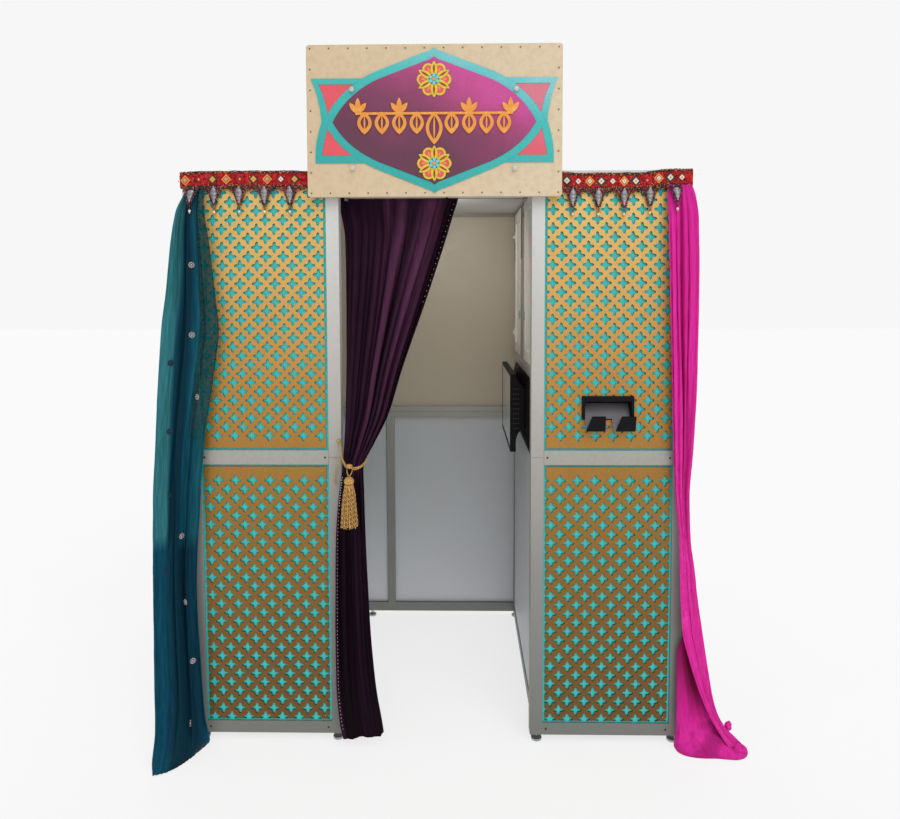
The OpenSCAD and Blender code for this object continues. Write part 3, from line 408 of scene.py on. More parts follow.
def cloth(name, deep, light, thread=1.1, sheen=0.6, rough=0.6, crinkle=0.0, patch=None, reach=45,
          power=1.0):
    """Woven cloth with painted shade in its folds and where it turns away, and a weave and small creases.
    """
    look = Look(name, rough)
    facing = look.add("ShaderNodeLayerWeight")
    facing.inputs["Blend"].default_value = 0.35
    turn = facing.outputs["Facing"]
    slub = look.noise(120, 4, look.stretched(1, 1, 0.08))
    # Painted shade where the cloth turns away from view.
    tone = look.mix(look.spread(turn, 0.1, 0.9), light, deep)
    if patch:
        tone = patch(look, tone)
    tone = look.mix(look.spread(slub, 0.35, 0.7, 0.0, 0.28), tone, deep)
    # Painted shade in the folds.
    tone = look.mix(look.hollows(reach, power), deep, tone)
    look.set("Base Color", tone)
    look.set("Sheen Weight", sheen)
    look.set("Sheen Roughness", 0.4)
    look.set("Sheen Tint", light)
    look.set("Specular IOR Level", 0.05)
    height = look.weave(thread)
    if crinkle:
        creases = look.noise(38, 5, look.stretched(1, 1, 0.35))
        height = look.math("MULTIPLY_ADD", creases, crinkle, height)
    look.bump(height, 0.45, 0.5)
    return look.mat


def glass(name, colour, rough):
    look = Look(name, rough)
    smear = look.noise(6, 6)
    look.set("Base Color", look.mix(look.spread(smear, 0.4, 0.7, 0, 0.2), colour, rgb(120, 118, 112)))
    look.set("Roughness", look.spread(smear, 0.3, 0.7, rough * 0.7, rough * 1.8))
    look.set("Coat Weight", 0.6)
    look.bump(look.noise(12, 2), 0.03, 0.2)
    return look.mat


def leaf_with_panel(node, rim_width):
    """A light door: painted rim around an opal panel."""
    look = Look("opal_" + node, 0.4)
    low, high = local_box(node)
    low_in = (low.x - 50, low.y + rim_width, low.z + rim_width)
    high_in = (high.x + 50, high.y - rim_width, high.z - rim_width)
    opal = look.inside(low_in, high_in)
    rim = look.mix(look.noise(12, 5), rgb(226, 222, 214), rgb(238, 234, 226))
    milk = look.mix(look.noise(20, 5), rgb(246, 240, 226), rgb(252, 246, 234))
    look.set("Base Color", look.mix(opal, rim, milk))
    look.set("Roughness", look.spread(opal, 0, 1, 0.42, 0.25))
    look.bump(look.noise(800, 2), 0.1, 0.15)
    return look.mat


def wood(name, light, dark):
    look = Look(name, 0.55)
    rings = look.noise(18, 6, look.stretched(6, 6, 0.5))
    pores = look.noise(260, 3, look.stretched(1, 1, 0.06))
    tone = look.mix(look.spread(rings, 0.35, 0.68), light, dark)
    tone = look.mix(look.spread(pores, 0.55, 0.75, 0, 0.5), tone, dark)
    look.set("Base Color", tone)
    look.bump(pores, 0.3, 0.3)
    return look.mat


def leather():
    look = Look("seat_leather", 0.45)
    pebbles = look.cells(420)
    tone = look.mix(look.spread(pebbles, 0.0, 0.5), rgb(14, 13, 13), rgb(38, 36, 36))
    look.set("Base Color", look.worn(tone, rgb(70, 66, 62), 0.4))
    look.set("Roughness", look.spread(pebbles, 0.0, 0.6, 0.55, 0.32))
    look.bump(pebbles, 0.5, 0.5)
    return look.mat


def twisted_gold(name, light, dark):
    """Rayon thread: fine slanting strands with a silky shine and painted shade between them."""
    look = Look(name, 0.5, 0.15)
    strands = look.noise(520, 2, look.stretched(1, 1, 0.12))
    tone = look.mix(look.spread(strands, 0.32, 0.66), dark, light)
    # Painted shade in the hollows between strands.
    look.set("Base Color", look.mix(look.hollows(7, 1.2), rgb(104, 62, 18), tone))
    look.set("Sheen Weight", 0.2)
    look.set("Roughness", look.spread(strands, 0.3, 0.7, 0.4, 0.65))
    look.bump(strands, 0.5, 0.4)
    return look.mat


def glossy(name, colour, rough=0.15, metal=0.0):
    """Beads, sequins, mirrors and enamel: shiny, with a faint tarnish."""
    look = Look(name, rough, metal)
    stain = look.noise(90, 4)
    look.set("Base Color", look.mix(look.spread(stain, 0.4, 0.7, 0, 0.45), colour, scaled(colour, 0.55)))
    look.set("Roughness", look.spread(stain, 0.3, 0.7, rough, rough * 2.4))
    look.set("Coat Weight", 0.4)
    return look.mat


def teal_lace(look, tone):
    """Painted light and shade in long light and dark bands; above the middle the inner side is sheer, with
    greenish thread.
    """
    across, down = look.across_cloth()
    place = look.wandering(across, 1.6, 0.16)
    dark, middle, blue = rgb(4, 32, 48), rgb(11, 66, 88), rgb(13, 78, 102)
    pale, sea = rgb(62, 136, 142), rgb(34, 106, 118)
    # Painted light and shade: pale and dark bands across the cloth, above and below the middle.
    upper_bands = look.ramp(place, [
        (0.0, sea), (0.05, pale), (0.20, pale), (0.26, middle), (0.31, dark), (0.52, dark),
        (0.57, blue), (0.64, sea), (0.70, middle), (0.78, middle), (0.90, sea), (1.0, sea)])
    lower_bands = look.ramp(place, [
        (0.0, middle), (0.10, blue), (0.30, middle), (0.42, dark), (0.82, dark), (0.92, middle),
        (1.0, blue)])
    tone = look.mix(0.82, tone, look.mix(look.spread(down, 0.60, 0.63), upper_bands, lower_bands))
    sheer = look.product(look.spread(across, 0.60, 0.68), look.spread(down, 0.44, 0.40))
    look.set("Alpha", look.math("MULTIPLY_ADD", sheer, -0.42, 1.0))
    threads = look.spread(look.cells(150, look.stretched(1, 1, 0.8)), 0.20, 0.30, 1.0, 0.0)
    sprays = look.spread(look.noise(46, 4), 0.42, 0.52)
    tone = look.mix(look.product(sheer, 0.35), tone, rgb(24, 96, 84))
    return look.mix(look.product(sheer, threads, sprays, 0.9), tone, rgb(70, 130, 96))


def magenta_painted_light_and_embroidery(look, tone):
    """Painted light and shade in bright and darker runs down the cloth, and embroidery in paler thread
    along its inner side.
    """
    across, down = look.across_cloth()
    bright, middle, dark = rgb(228, 48, 162), rgb(208, 38, 138), rgb(150, 24, 98)
    # Painted light and shade: bright and dark runs across the cloth, weaker lower down.
    bands = look.ramp(look.wandering(across, 1.5, 0.12), [
        (0.0, middle), (0.12, bright), (0.40, bright), (0.47, dark), (0.53, middle), (0.64, bright),
        (0.69, dark), (0.74, bright), (0.90, middle), (1.0, bright)])
    tone = look.mix(look.spread(down, 0.50, 0.68, 0.6, 0.12), tone, bands)
    sprays = look.noise(60, 6, look.stretched(1, 1, 0.45), 0.7)
    thread = look.spread(look.math("ABSOLUTE", look.math("SUBTRACT", sprays, 0.52)), 0.0, 0.014, 1.0, 0.0)
    patches = look.spread(look.noise(9, 3, look.stretched(1, 1, 0.5)), 0.40, 0.52)
    inner = look.spread(across, 0.85, 0.55)
    lower = look.spread(down, 0.30, 0.50)
    return look.mix(look.product(thread, patches, inner, lower, 0.8), tone, rgb(240, 110, 180))


def inner_fold(look, tone):
    """Painted shade: deep where it hangs, in its creases and in a pocket behind the flap; bright again
    where it lies on the floor.
    """
    across, down = look.across_cloth()
    bright = rgb(222, 46, 158)
    shade = look.ramp(down, [(0.0, rgb(112, 20, 50)), (0.25, rgb(146, 24, 90)),
                             (0.45, rgb(196, 34, 134)), (0.60, bright), (1.0, bright)])
    tone = look.mix(0.85, tone, shade)
    # Painted shade in the creases and in the pocket behind the flap.
    runs = look.spread(look.noise(9, 3, look.stretched(1, 0.6, 1)), 0.50, 0.60)
    creases = look.product(runs, look.spread(down, 0.42, 0.55, 0.0, 0.55))
    tone = look.mix(creases, tone, rgb(140, 22, 92))
    pocket = look.product(look.spread(across, 0.22, 0.45), look.spread(down, 0.52, 0.36), 0.8)
    return look.mix(pocket, tone, rgb(104, 16, 46))


def stitches(look, tone):
    """Small pink and dark stitches scattered over the red."""
    pink = look.spread(look.noise(210, 3), 0.54, 0.58)
    dark = look.spread(look.noise(170, 3, look.stretched(1.2, 1.2, 0.9)), 0.52, 0.56)
    tone = look.mix(look.product(pink, 0.6), tone, rgb(200, 74, 96))
    return look.mix(look.product(dark, 0.75), tone, rgb(84, 14, 24))


def curtain_painted_light(look, tone):
    """Painted light and shade: satin highlights in runs above the tie and painted shade on the free edge
    strip there; below the tie one dark fold beside the edge strip, then a plain part; darker towards the
    floor.
    """
    across, down = look.across_cloth()
    dark, middle, pale = rgb(36, 14, 33), rgb(58, 31, 53), rgb(118, 66, 102)
    above = look.spread(down, 0.48, 0.56, 1.0, 0.0)
    # Painted highlights: satin streaks above the tie.
    streaks = look.spread(look.noise(17, 3, look.stretched(1, 1, 0.03)), 0.47, 0.66, 0.0, 0.25)
    tone = look.mix(look.product(above, streaks), tone, rgb(96, 54, 82))
    # Painted light and shade in runs across the cloth above the tie, and in one dark fold below it.
    runs = look.ramp(look.wandering(across, 1.4, 0.10), [
        (0.0, dark), (0.06, middle), (0.13, dark), (0.34, dark), (0.41, pale), (0.47, dark),
        (0.54, pale), (0.59, dark), (0.68, middle), (0.76, pale), (0.86, pale), (0.91, dark), (1.0, dark)])
    hanging = look.ramp(across, [
        (0.0, pale), (0.05, pale), (0.09, dark), (0.16, rgb(12, 5, 12)), (0.42, rgb(14, 6, 14)),
        (0.58, rgb(52, 26, 50)), (0.94, rgb(48, 24, 46)), (1.0, dark)])
    tone = look.mix(0.70, tone, look.mix(above, hanging, runs))
    # Painted shade on the free edge strip where it turns away.
    band = look.product(above, look.spread(across, 0.93, 0.945, 0.0, 0.75))
    tone = look.mix(band, tone, rgb(30, 13, 26))
    # Painted light: darker towards the floor, as lit from above.
    painted_falloff = look.ramp(down, [(0.0, rgb(246, 246, 246)), (0.45, rgb(205, 205, 205)),
                            (0.62, rgb(170, 162, 168)), (1.0, rgb(136, 124, 134))])
    return look.mix(1.0, tone, painted_falloff, "MULTIPLY")


PAINT = frame_paint()
GOLD = gold_paint()
TURQUOISE = backing_paint()
PANEL = panel_white()
SMOKED = glass("smoked_glass", rgb(30, 30, 34), 0.12)
STEEL = metal("zinc_steel", rgb(170, 172, 174), 0.34)
DARK_STEEL = metal("dark_steel", rgb(70, 70, 72), 0.4)
BRASS = metal("brass", rgb(206, 164, 84), 0.3, False)
BLACK = plastic("black_plastic", rgb(9, 5, 10), 0.5, 700, 0.02, 0.15)
CASE = plastic("dark_case", rgb(46, 48, 52), 0.5)
GREY_PLATE = plastic("grey_plate", rgb(98, 96, 100), 0.4, 700, 0.1, 0.3)
RED = plastic("red_switch", rgb(168, 24, 22), 0.3)
BOARD = board_paint()
# The sign's paints, each with a painted highlight towards the upper right.
BAND = painted_highlight_across("band_turquoise", [
    (0.15, rgb(32, 170, 166)), (0.66, rgb(54, 190, 184)), (0.80, rgb(100, 198, 200)),
    (0.93, rgb(148, 206, 214))], 0.4, 0.40, 0.70)
CORAL = painted_highlight_across("coral_paint", [
    (0.2, rgb(232, 82, 92)), (0.7, rgb(228, 84, 100)), (0.95, rgb(220, 118, 138))], 0.4)
PLUM = painted_highlight_across("medallion_paint", [
    (0.34, rgb(100, 46, 72)), (0.54, rgb(130, 52, 92)), (0.68, rgb(172, 60, 120)),
    (0.79, rgb(204, 70, 150))], 0.28, 0.55, 0.60)
ORANGE = painted("ornament_orange", rgb(236, 150, 58), 0.4, 0.07, 260, rgb(250, 196, 110), 0.2)
YELLOW = painted("petal_yellow", rgb(226, 206, 52), 0.4, 0.05, 300, rgb(190, 160, 40))
ROSE = painted("petal_rose", rgb(232, 84, 90), 0.4, 0.05)
CRIMSON = painted("petal_line", rgb(160, 36, 46), 0.4, 0.05)
SKY = painted("heart_drops", rgb(112, 206, 220), 0.3, 0.04)
WHITE_CAP = glossy("white_cap", rgb(206, 202, 194), 0.3)
AGED_PIN = metal("aged_pin", rgb(128, 116, 70), 0.45, False)
WOOD = wood("batten_wood", rgb(196, 158, 108), rgb(140, 100, 60))
BENCH_WOOD = wood("bench_wood", rgb(188, 150, 104), rgb(128, 92, 58))
CURTAIN = cloth("curtain_cloth", rgb(17, 7, 16), rgb(62, 34, 54), 0.9, 0.05, 0.6,
                patch=curtain_painted_light, reach=50)
TEAL = cloth("teal_cloth", rgb(4, 28, 42), rgb(20, 82, 98), 0.8, 0.03, 0.5, patch=teal_lace)
MAGENTA = cloth("magenta_cloth", rgb(172, 24, 112), rgb(232, 52, 166), 0.8, 0.12, 0.5,
                crinkle=1.4, patch=magenta_painted_light_and_embroidery, reach=30, power=0.5)
MAGENTA_DEEP = cloth("magenta_inner", rgb(124, 14, 70), rgb(218, 44, 152), 0.8, 0.12, 0.5,
                     crinkle=1.4, patch=inner_fold, reach=30, power=0.6)
RED_CLOTH = cloth("trim_red", rgb(140, 18, 20), rgb(204, 36, 32), 1.2, 0.1, patch=stitches, reach=4)
CORD = twisted_gold("cord_gold", rgb(232, 190, 100), rgb(168, 116, 40))
TASSEL_DARK = twisted_gold("tassel_shade", rgb(186, 128, 48), rgb(110, 68, 22))
TASSEL = twisted_gold("tassel_gold", rgb(248, 206, 112), rgb(176, 118, 44))
SILVER = glossy("bead_silver", rgb(206, 206, 210), 0.16, 0.9)
PEARL = glossy("bead_pearl", rgb(238, 232, 222), 0.14)
GOLD_BEAD = glossy("bead_gold", rgb(222, 160, 60), 0.18, 0.8)
MAROON = glossy("bead_maroon", rgb(96, 16, 42), 0.18)
GREEN = glossy("bead_green", rgb(16, 70, 60), 0.18)
MIRROR = glossy("mirror_disc", rgb(220, 224, 228), 0.05, 1.0)


def thread(name, colour, rough=0.6, vary=0.06):
    return painted(name, colour, rough, vary, 500)


TRIM_RED = thread("trim_bright", rgb(196, 40, 34))
TAN = thread("trim_tan", rgb(196, 150, 104))
PINK = thread("trim_pink", rgb(176, 54, 84))
AMBER = thread("trim_amber", rgb(232, 158, 56), 0.6, 0.08)
LEAF = thread("trim_green", rgb(24, 82, 54), 0.6, 0.08)
WINE = thread("trim_wine", rgb(120, 20, 34), 0.6, 0.08)
THREAD_WHITE = thread("trim_white", rgb(228, 220, 204))
THREAD_BLACK = thread("trim_black", rgb(26, 20, 22))
MOTIF = thread("motif_thread", rgb(170, 156, 158), 0.5, 0.08)
DARK_MOTIF = thread("motif_dark", rgb(10, 52, 74), 0.5, 0.08)
STITCHES = (THREAD_BLACK, THREAD_BLACK, THREAD_BLACK, WINE, LEAF, AMBER, PINK)
SCREEN = glass("screen_glass", rgb(150, 152, 156), 0.14)
LEATHER = leather()


# ---------- mesh helpers ----------

def lathe(profile, segments=24):
    """Turns (radius, height) points around +Z; both ends must be closed with radius 0."""
    verts, faces, rows = [], [], []
    for radius, height in profile:
        if radius < 1e-6:
            rows.append([len(verts)] * segments)
            verts.append((0, 0, height))
        else:
            rows.append(list(range(len(verts), len(verts) + segments)))
            verts += [(radius * math.cos(TAU * i / segments), radius * math.sin(TAU * i / segments),
                       height) for i in range(segments)]
    for low, high in zip(rows, rows[1:]):
        for i in range(segments):
            k = (i + 1) % segments
            corner = list(dict.fromkeys((low[i], low[k], high[k], high[i])))
            if len(corner) > 2:
                faces.append(tuple(corner))
    return verts, faces


def ball(radius, segments=10, rings=6, squash=1.0):
    angles = [math.pi * j / rings for j in range(rings + 1)]
    return lathe([(radius * math.sin(a), -radius * squash * math.cos(a)) for a in angles], segments)


def tube(path, radius, sides=8):
    """A closed tube along a path; radius is a number or a function of the place from 0 to 1."""
    verts, faces = [], []
    count = len(path)
    path = [Vector(p) for p in path]
    up = Vector((0, 0, 1))
    for j, point in enumerate(path):
        along = (path[min(j + 1, count - 1)] - path[max(j - 1, 0)]).normalized()
        side = along.cross(up)
        if side.length < 0.1:
            side = along.cross(Vector((0, 1, 0)))
        side.normalize()
        up = side.cross(along).normalized()
        r = radius(j / (count - 1)) if callable(radius) else radius
        for i in range(sides):
            a = TAU * i / sides
            verts.append(point + side * (r * math.cos(a)) + up * (r * math.sin(a)))
    for j in range(count - 1):
        for i in range(sides):
            k = (i + 1) % sides
            faces.append((j * sides + i, (j + 1) * sides + i, (j + 1) * sides + k, j * sides + k))
    faces.append(tuple(range(sides)))
    faces.append(tuple(reversed(range((count - 1) * sides, count * sides))))
    return verts, faces


def slab(outline, thickness, chamfer):
    """A flat outline in x and z, standing from y = 0 towards the front, with a chamfered face."""
    count = len(outline)
    centre = (sum(p[0] for p in outline) / count, sum(p[1] for p in outline) / count)

    def ring(y, inset):
        out = []
        for x, z in outline:
            dx, dz = centre[0] - x, centre[1] - z
            length = math.hypot(dx, dz) or 1.0
            out.append((x + dx / length * inset, y, z + dz / length * inset))
        return out

    verts = ring(0, 0) + ring(-thickness + chamfer, 0) + ring(-thickness, chamfer)
    faces = [tuple(reversed(range(count))), tuple(range(2 * count, 3 * count))]
    for layer in range(2):
        for i in range(count):
            k = (i + 1) % count
            base = layer * count
            faces.append((base + i, base + k, base + count + k, base + count + i))
    return verts, faces


def circle_points(radius, count):
    angles = [TAU * i / count for i in range(count)]
    return [(radius * math.cos(a), radius * math.sin(a)) for a in angles]


def ring_points(centre, radius, count):
    """A closed level ring; its first point comes again at the end."""
    points = circle_points(radius, count)
    return [Vector((x, y, 0)) + centre for x, y in points + points[:1]]


def grid_faces(lines, per_line):
    """Faces of a grid of points given line by line."""
    faces = []
    for j in range(lines - 1):
        for i in range(per_line - 1):
            k = j * per_line + i
            faces.append((k, k + per_line, k + per_line + 1, k + 1))
    return faces


def grid_rim(lines, per_line):
    """The grid's outer points in order, along the first line first."""
    last = (lines - 1) * per_line
    return (list(range(per_line)) + [j * per_line + per_line - 1 for j in range(1, lines)]
            + [last + i for i in range(per_line - 2, -1, -1)]
            + [j * per_line for j in range(lines - 2, 0, -1)])


def pad_faces(lines, per_line):
    """Faces of a thick grid: one layer of points, the layer behind it, and the sides between."""
    size = lines * per_line
    near = grid_faces(lines, per_line)
    far = [tuple(size + k for k in reversed(face)) for face in near]
    rim = grid_rim(lines, per_line)
    sides = [(n, size + n, size + k, k) for k, n in zip(rim, rim[1:] + rim[:1])]
    return near + far + sides


def show(name, data):
    obj = bpy.data.objects.new(name, data)
    bpy.context.scene.collection.objects.link(obj)
    return obj


def as_piece(name, mesh, body, replaced=()):
    """Shows a mesh as a piece that rides on a body, in place of the CAD nodes it replaces."""
    obj = show(name, mesh)
    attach(obj, body)
    if replaced:
        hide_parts(*replaced)
    return obj


def thicken(obj, thickness, offset):
    mod = obj.modifiers.new("thickness", "SOLIDIFY")
    mod.thickness = thickness * MM
    mod.offset = offset


class Build:
    """Gathers shapes in millimetres and turns them into one piece."""

    def __init__(self):
        self.verts, self.faces, self.index, self.palette = [], [], [], []

    def put(self, shape, mat, place=(0, 0, 0), turn=None):
        if mat not in self.palette:
            self.palette.append(mat)
        slot = self.palette.index(mat)
        base = len(self.verts)
        place = Vector(place)
        for v in shape[0]:
            v = Vector(v)
            self.verts.append((turn @ v if turn else v) + place)
        for f in shape[1]:
            self.faces.append([base + i for i in f])
            self.index.append(slot)

    def piece(self, name, body, shade=True, replaced=()):
        mesh = bpy.data.meshes.new(name)
        mesh.from_pydata([at(*v) for v in self.verts], [], self.faces)
        for mat in self.palette:
            mesh.materials.append(mat)
        mesh.polygons.foreach_set("material_index", self.index)
        mesh.polygons.foreach_set("use_smooth", [shade] * len(self.faces))
        mesh.update()
        return as_piece(name, mesh, body, replaced)


def turned(angle, axis):
    return Matrix.Rotation(math.radians(angle), 3, axis)


def in_plane(angle):
    """Turns a shape in the plane of the front, anticlockwise as seen from the front."""
    return turned(-angle, "Y")


FACING_FRONT = turned(90, "X")


def bevelled(obj, width, segments=2, angle=35):
    mod = obj.modifiers.new("edge_round", "BEVEL")
    mod.width = width * MM
    mod.segments = segments
    mod.limit_method = "ANGLE"
    mod.angle_limit = math.radians(angle)
    mod.use_clamp_overlap = True
    return obj


# ---------- CAD nodes that stay ----------

def dress(node, mat, bevel):
    """Gives a CAD node its look and rounded edges."""
    obj = NODES[node]
    for slot in obj.material_slots:
        slot.material = mat
    if not obj.material_slots:
        obj.data.materials.append(mat)
    weld = obj.modifiers.new("weld", "WELD")
    weld.merge_threshold = 0.01 * MM
    flat = obj.modifiers.new("flat_faces", "DECIMATE")
    flat.decimate_type = "DISSOLVE"
    flat.angle_limit = math.radians(1)
    bevelled(obj, bevel)
    normals = obj.modifiers.new("normals", "WEIGHTED_NORMAL")
    normals.keep_sharp = False


for cad_name in ("front_left_lower", "front_left_upper", "front_right_lower", "front_right_upper",
                 "left_wall_frames", "back_wall_frames", "right_wall_frames", "partition_frames",
                 "top_beams", "service_door_frame", "mid_rail_covers"):
    dress(cad_name, PAINT, 1.4 if "cover" not in cad_name else 0.6)
for cad_name, cad_mat, cad_bevel in (
        ("roof_panel", PANEL, 1.0), ("wall_panels", PANEL, 0.5), ("partition_panels", PANEL, 0.5),
        ("service_door_skin", PANEL, 0.5), ("camera_window", SMOKED, 0.4),
        ("front_backings", TURQUOISE, 0.4), ("fret_pins", BRASS, 0.4), ("frame_screws", DARK_STEEL, 0.3),
        ("levelling_feet", STEEL, 0.8), ("service_hinges", STEEL, 0.3), ("door_lock", STEEL, 0.6),
        ("chute_bezel", BLACK, 1.2), ("sign_board", BOARD, 2.0), ("sign_battens", WOOD, 1.5),
        ("sign_band", BAND, 0.5), ("sign_coral", CORAL, 0.4), ("sign_medallion", PLUM, 0.8),
        ("sign_ornament", ORANGE, 1.1), ("sign_caps", WHITE_CAP, 0.6), ("sign_pins", AGED_PIN, 0.4),
        ("curtain_rod", STEEL, 0.5), ("monitor_surround", BLACK, 0.8), ("monitor_shell", BLACK, 2.0),
        ("monitor_screen", SCREEN, 0.3), ("latch_front", STEEL, 0.5), ("latch_rear", STEEL, 0.5),
        ("camera", BLACK, 1.5), ("printer", CASE, 2.5), ("equipment_shelf", STEEL, 0.8),
        ("computer", CASE, 2.0), ("vent_fan", BLACK, 0.6), ("rear_plates", BLACK, 0.6),
        ("power_switch", RED, 0.5), ("bench_board", BENCH_WOOD, 1.5), ("bench_brackets", DARK_STEEL, 1.0)):
    dress(cad_name, cad_mat, cad_bevel)
for cad_name in ("light_door_front", "light_door_rear"):
    dress(cad_name, leaf_with_panel(cad_name, 46), 0.8)


# ---------- fretwork ----------

STILE = 45
MARGIN = 8
FRET_T = 6
PITCH = 60.6
LOW_ROW_STEP = 31.85
HIGH_ROW_STEP = 31.2
CROSS_TIP = 20.3
CROSS_ARM = 6.4
TIP_ARM = 5.2
FRET_ROWS = 28
# Rows without crosses, cut away past the board's ends
SPARE_ROWS = 4
# Height of the first row on the upper boards, and the space over the last row on the lower ones
HIGH_FIRST = 43
LOW_TOP_SPACE = 49
FRET_W = (LEFT_FRAME[1].x - LEFT_FRAME[0].x) / MM - 2 * STILE - 2 * MARGIN


def cross_quarter():
    """First quarter of a plus sign with slender pointed tips, from the tip on +x to the tip on +z."""
    tip = [(CROSS_TIP, 0), (CROSS_TIP - 1.2, 2.3), (CROSS_TIP - 3.6, 4.3), (CROSS_TIP - 6.6, TIP_ARM)]
    inner = [(CROSS_ARM + 1.6, CROSS_ARM - 0.3), (CROSS_ARM + 0.4, CROSS_ARM + 0.4),
             (CROSS_ARM - 0.3, CROSS_ARM + 1.6)]
    return tip + inner + [(z, x) for x, z in reversed(tip)]


def fret_cell(bm, cx, cz, step, pierced):
    """One diamond-shaped cell of the board, with or without its cross."""
    corners = [(PITCH / 2, 0), (0, step), (-PITCH / 2, 0), (0, -step)]
    inner, outer = [], []
    quarter = cross_quarter()
    last = len(quarter) - 1
    for q in range(4):
        a, b = corners[q], corners[(q + 1) % 4]
        c, s = round(math.cos(q * math.pi / 2)), round(math.sin(q * math.pi / 2))
        for i in range(last):
            x, z = quarter[i]
            inner.append((cx + x * c - z * s, cz + x * s + z * c))
            outer.append((cx + lerp(a[0], b[0], i / last), cz + lerp(a[1], b[1], i / last)))
    ring = [bm.verts.new((x, 0, z)) for x, z in outer]
    if not pierced:
        bm.faces.new(ring)
        return
    hole = [bm.verts.new((x, 0, z)) for x, z in inner]
    for i in range(len(ring)):
        k = (i + 1) % len(ring)
        bm.faces.new((hole[i], ring[i], ring[k], hole[k]))


def fret_board(name, replaced, corner, height, first, step, start, cut=None):
    """One fretted board from its lower left corner; cut is an opening (x0, z0, x1, z1)."""
    x0, y, z0 = corner
    bm = bmesh.new()
    for row in range(-SPARE_ROWS, FRET_ROWS + SPARE_ROWS + 1):
        shift = -3.75 if (row + start) % 2 == 0 else -3.25
        for k in range(-2, 10):
            fret_cell(bm, FRET_W / 2 + (k + shift) * PITCH, first + row * step, step,
                      0 <= row < FRET_ROWS)
    bmesh.ops.remove_doubles(bm, verts=bm.verts, dist=0.01)

    def slice_at(point, normal, clear):
        bmesh.ops.bisect_plane(bm, geom=bm.verts[:] + bm.edges[:] + bm.faces[:], dist=0.001,
                               plane_co=point, plane_no=normal, clear_outer=clear)

    slice_at((FRET_W, 0, 0), (1, 0, 0), True)
    slice_at((0, 0, 0), (-1, 0, 0), True)
    slice_at((0, 0, height), (0, 0, 1), True)
    slice_at((0, 0, 0), (0, 0, -1), True)
    if cut:
        a, b, c, d = cut[0] - x0, cut[1] - z0, cut[2] - x0, cut[3] - z0
        for px in (a, c):
            slice_at((px, 0, 0), (1, 0, 0), False)
        for pz in (b, d):
            slice_at((0, 0, pz), (0, 0, 1), False)
        inside = [f for f in bm.faces if a < f.calc_center_median().x < c
                  and b < f.calc_center_median().z < d]
        bmesh.ops.delete(bm, geom=inside, context="FACES")
    bmesh.ops.remove_doubles(bm, verts=bm.verts, dist=0.02)
    bmesh.ops.dissolve_degenerate(bm, edges=bm.edges, dist=0.01)
    for v in bm.verts:
        v.co = at(x0 + v.co.x, y, z0 + v.co.z)
    bmesh.ops.recalc_face_normals(bm, faces=bm.faces)
    if bm.faces and sum(f.normal.y for f in bm.faces) > 0:
        bmesh.ops.reverse_faces(bm, faces=bm.faces)
    mesh = bpy.data.meshes.new(name)
    bm.to_mesh(mesh)
    bm.free()
    mesh.materials.append(GOLD)
    obj = as_piece(name, mesh, "booth", replaced)
    thicken(obj, FRET_T, -1)
    bevelled(obj, 0.5, 1, 50)


def fretwork():
    low_a, low_b = local_box("frets_lower")
    high_a, high_b = local_box("frets_upper")
    bezel_a, bezel_b = local_box("chute_bezel")
    chute = (bezel_a.x - 1, bezel_b.z - 83, bezel_b.x + 1, bezel_b.z + 1)
    low_height, high_height = low_b.z - low_a.z, high_b.z - high_a.z
    low_first = low_height - LOW_TOP_SPACE - (FRET_ROWS - 1) * LOW_ROW_STEP
    for side, x, cut in (("left", low_a.x, None), ("right", low_b.x - FRET_W, chute)):
        fret_board("fret_lower_" + side, ["frets_lower"], (x, low_a.y, low_a.z), low_height,
                   low_first, LOW_ROW_STEP, 1)
        fret_board("fret_upper_" + side, ["frets_upper"], (x, high_a.y, high_a.z), high_height,
                   HIGH_FIRST, HIGH_ROW_STEP, 0, cut)


fretwork()


# ---------- sign rosettes ----------

def petal(length, width, power):
    """A pointed petal along +z from the origin; a low power makes it blunt."""
    places = [i / 7 for i in range(7)]
    side = [(width * math.sin(math.pi * t) ** power, length * t) for t in places]
    return side + [(0, length)] + [(-x, z) for x, z in reversed(side[1:])]


def rosettes():
    """Six lobes and six petals round a heart of drops; sizes are parts of the rosette's radius."""
    build = Build()
    low, high = local_box("sign_rosettes")
    radius = (high.x - low.x) / 2

    def disc(size, count, thickness, chamfer):
        return slab(circle_points(radius * size, count), thickness, chamfer)

    def leaf(length, width, thickness, chamfer, power=1.0):
        return slab(petal(radius * length, radius * width, power), thickness, chamfer)

    for z in (low.z + radius, high.z - radius):
        centre = Vector((low.x + radius, high.y, z))

        def put(shape, mat, angle=0.0, lift=0.0, reach=0.0):
            turn = in_plane(angle)
            build.put(shape, mat, centre + turn @ Vector((0, -lift, radius * reach)), turn)

        for k in range(6):
            lobe = 60 * k + 30
            put(disc(0.335, 22, 2.6, 0.8), YELLOW, lobe, 0, 0.64)
            put(disc(0.235, 18, 1.2, 0.5), ROSE, lobe, 2.6, 0.62)
            put(leaf(0.3, 0.05, 0.7, 0.2), AMBER, lobe, 3.6, 0.44)
            put(leaf(1.0, 0.20, 4.2, 0.9, 0.9), YELLOW, 60 * k, 0, 0.02)
            put(leaf(0.56, 0.055, 0.9, 0.3), CRIMSON, 60 * k, 4.2, 0.3)
        put(disc(0.345, 28, 4.9, 0.8), YELLOW)
        put(disc(0.30, 28, 5.4, 0.5), MAROON)
        for k in range(6):
            put(leaf(0.235, 0.1, 1.4, 0.5, 0.7), SKY, 60 * k, 5.4, 0.09)
        put(disc(0.1, 16, 2.2, 0.8), AMBER, 0, 5.4)
    build.piece("rosettes", "booth", False, ["sign_rosettes"])


rosettes()


# ---------- print chute ----------

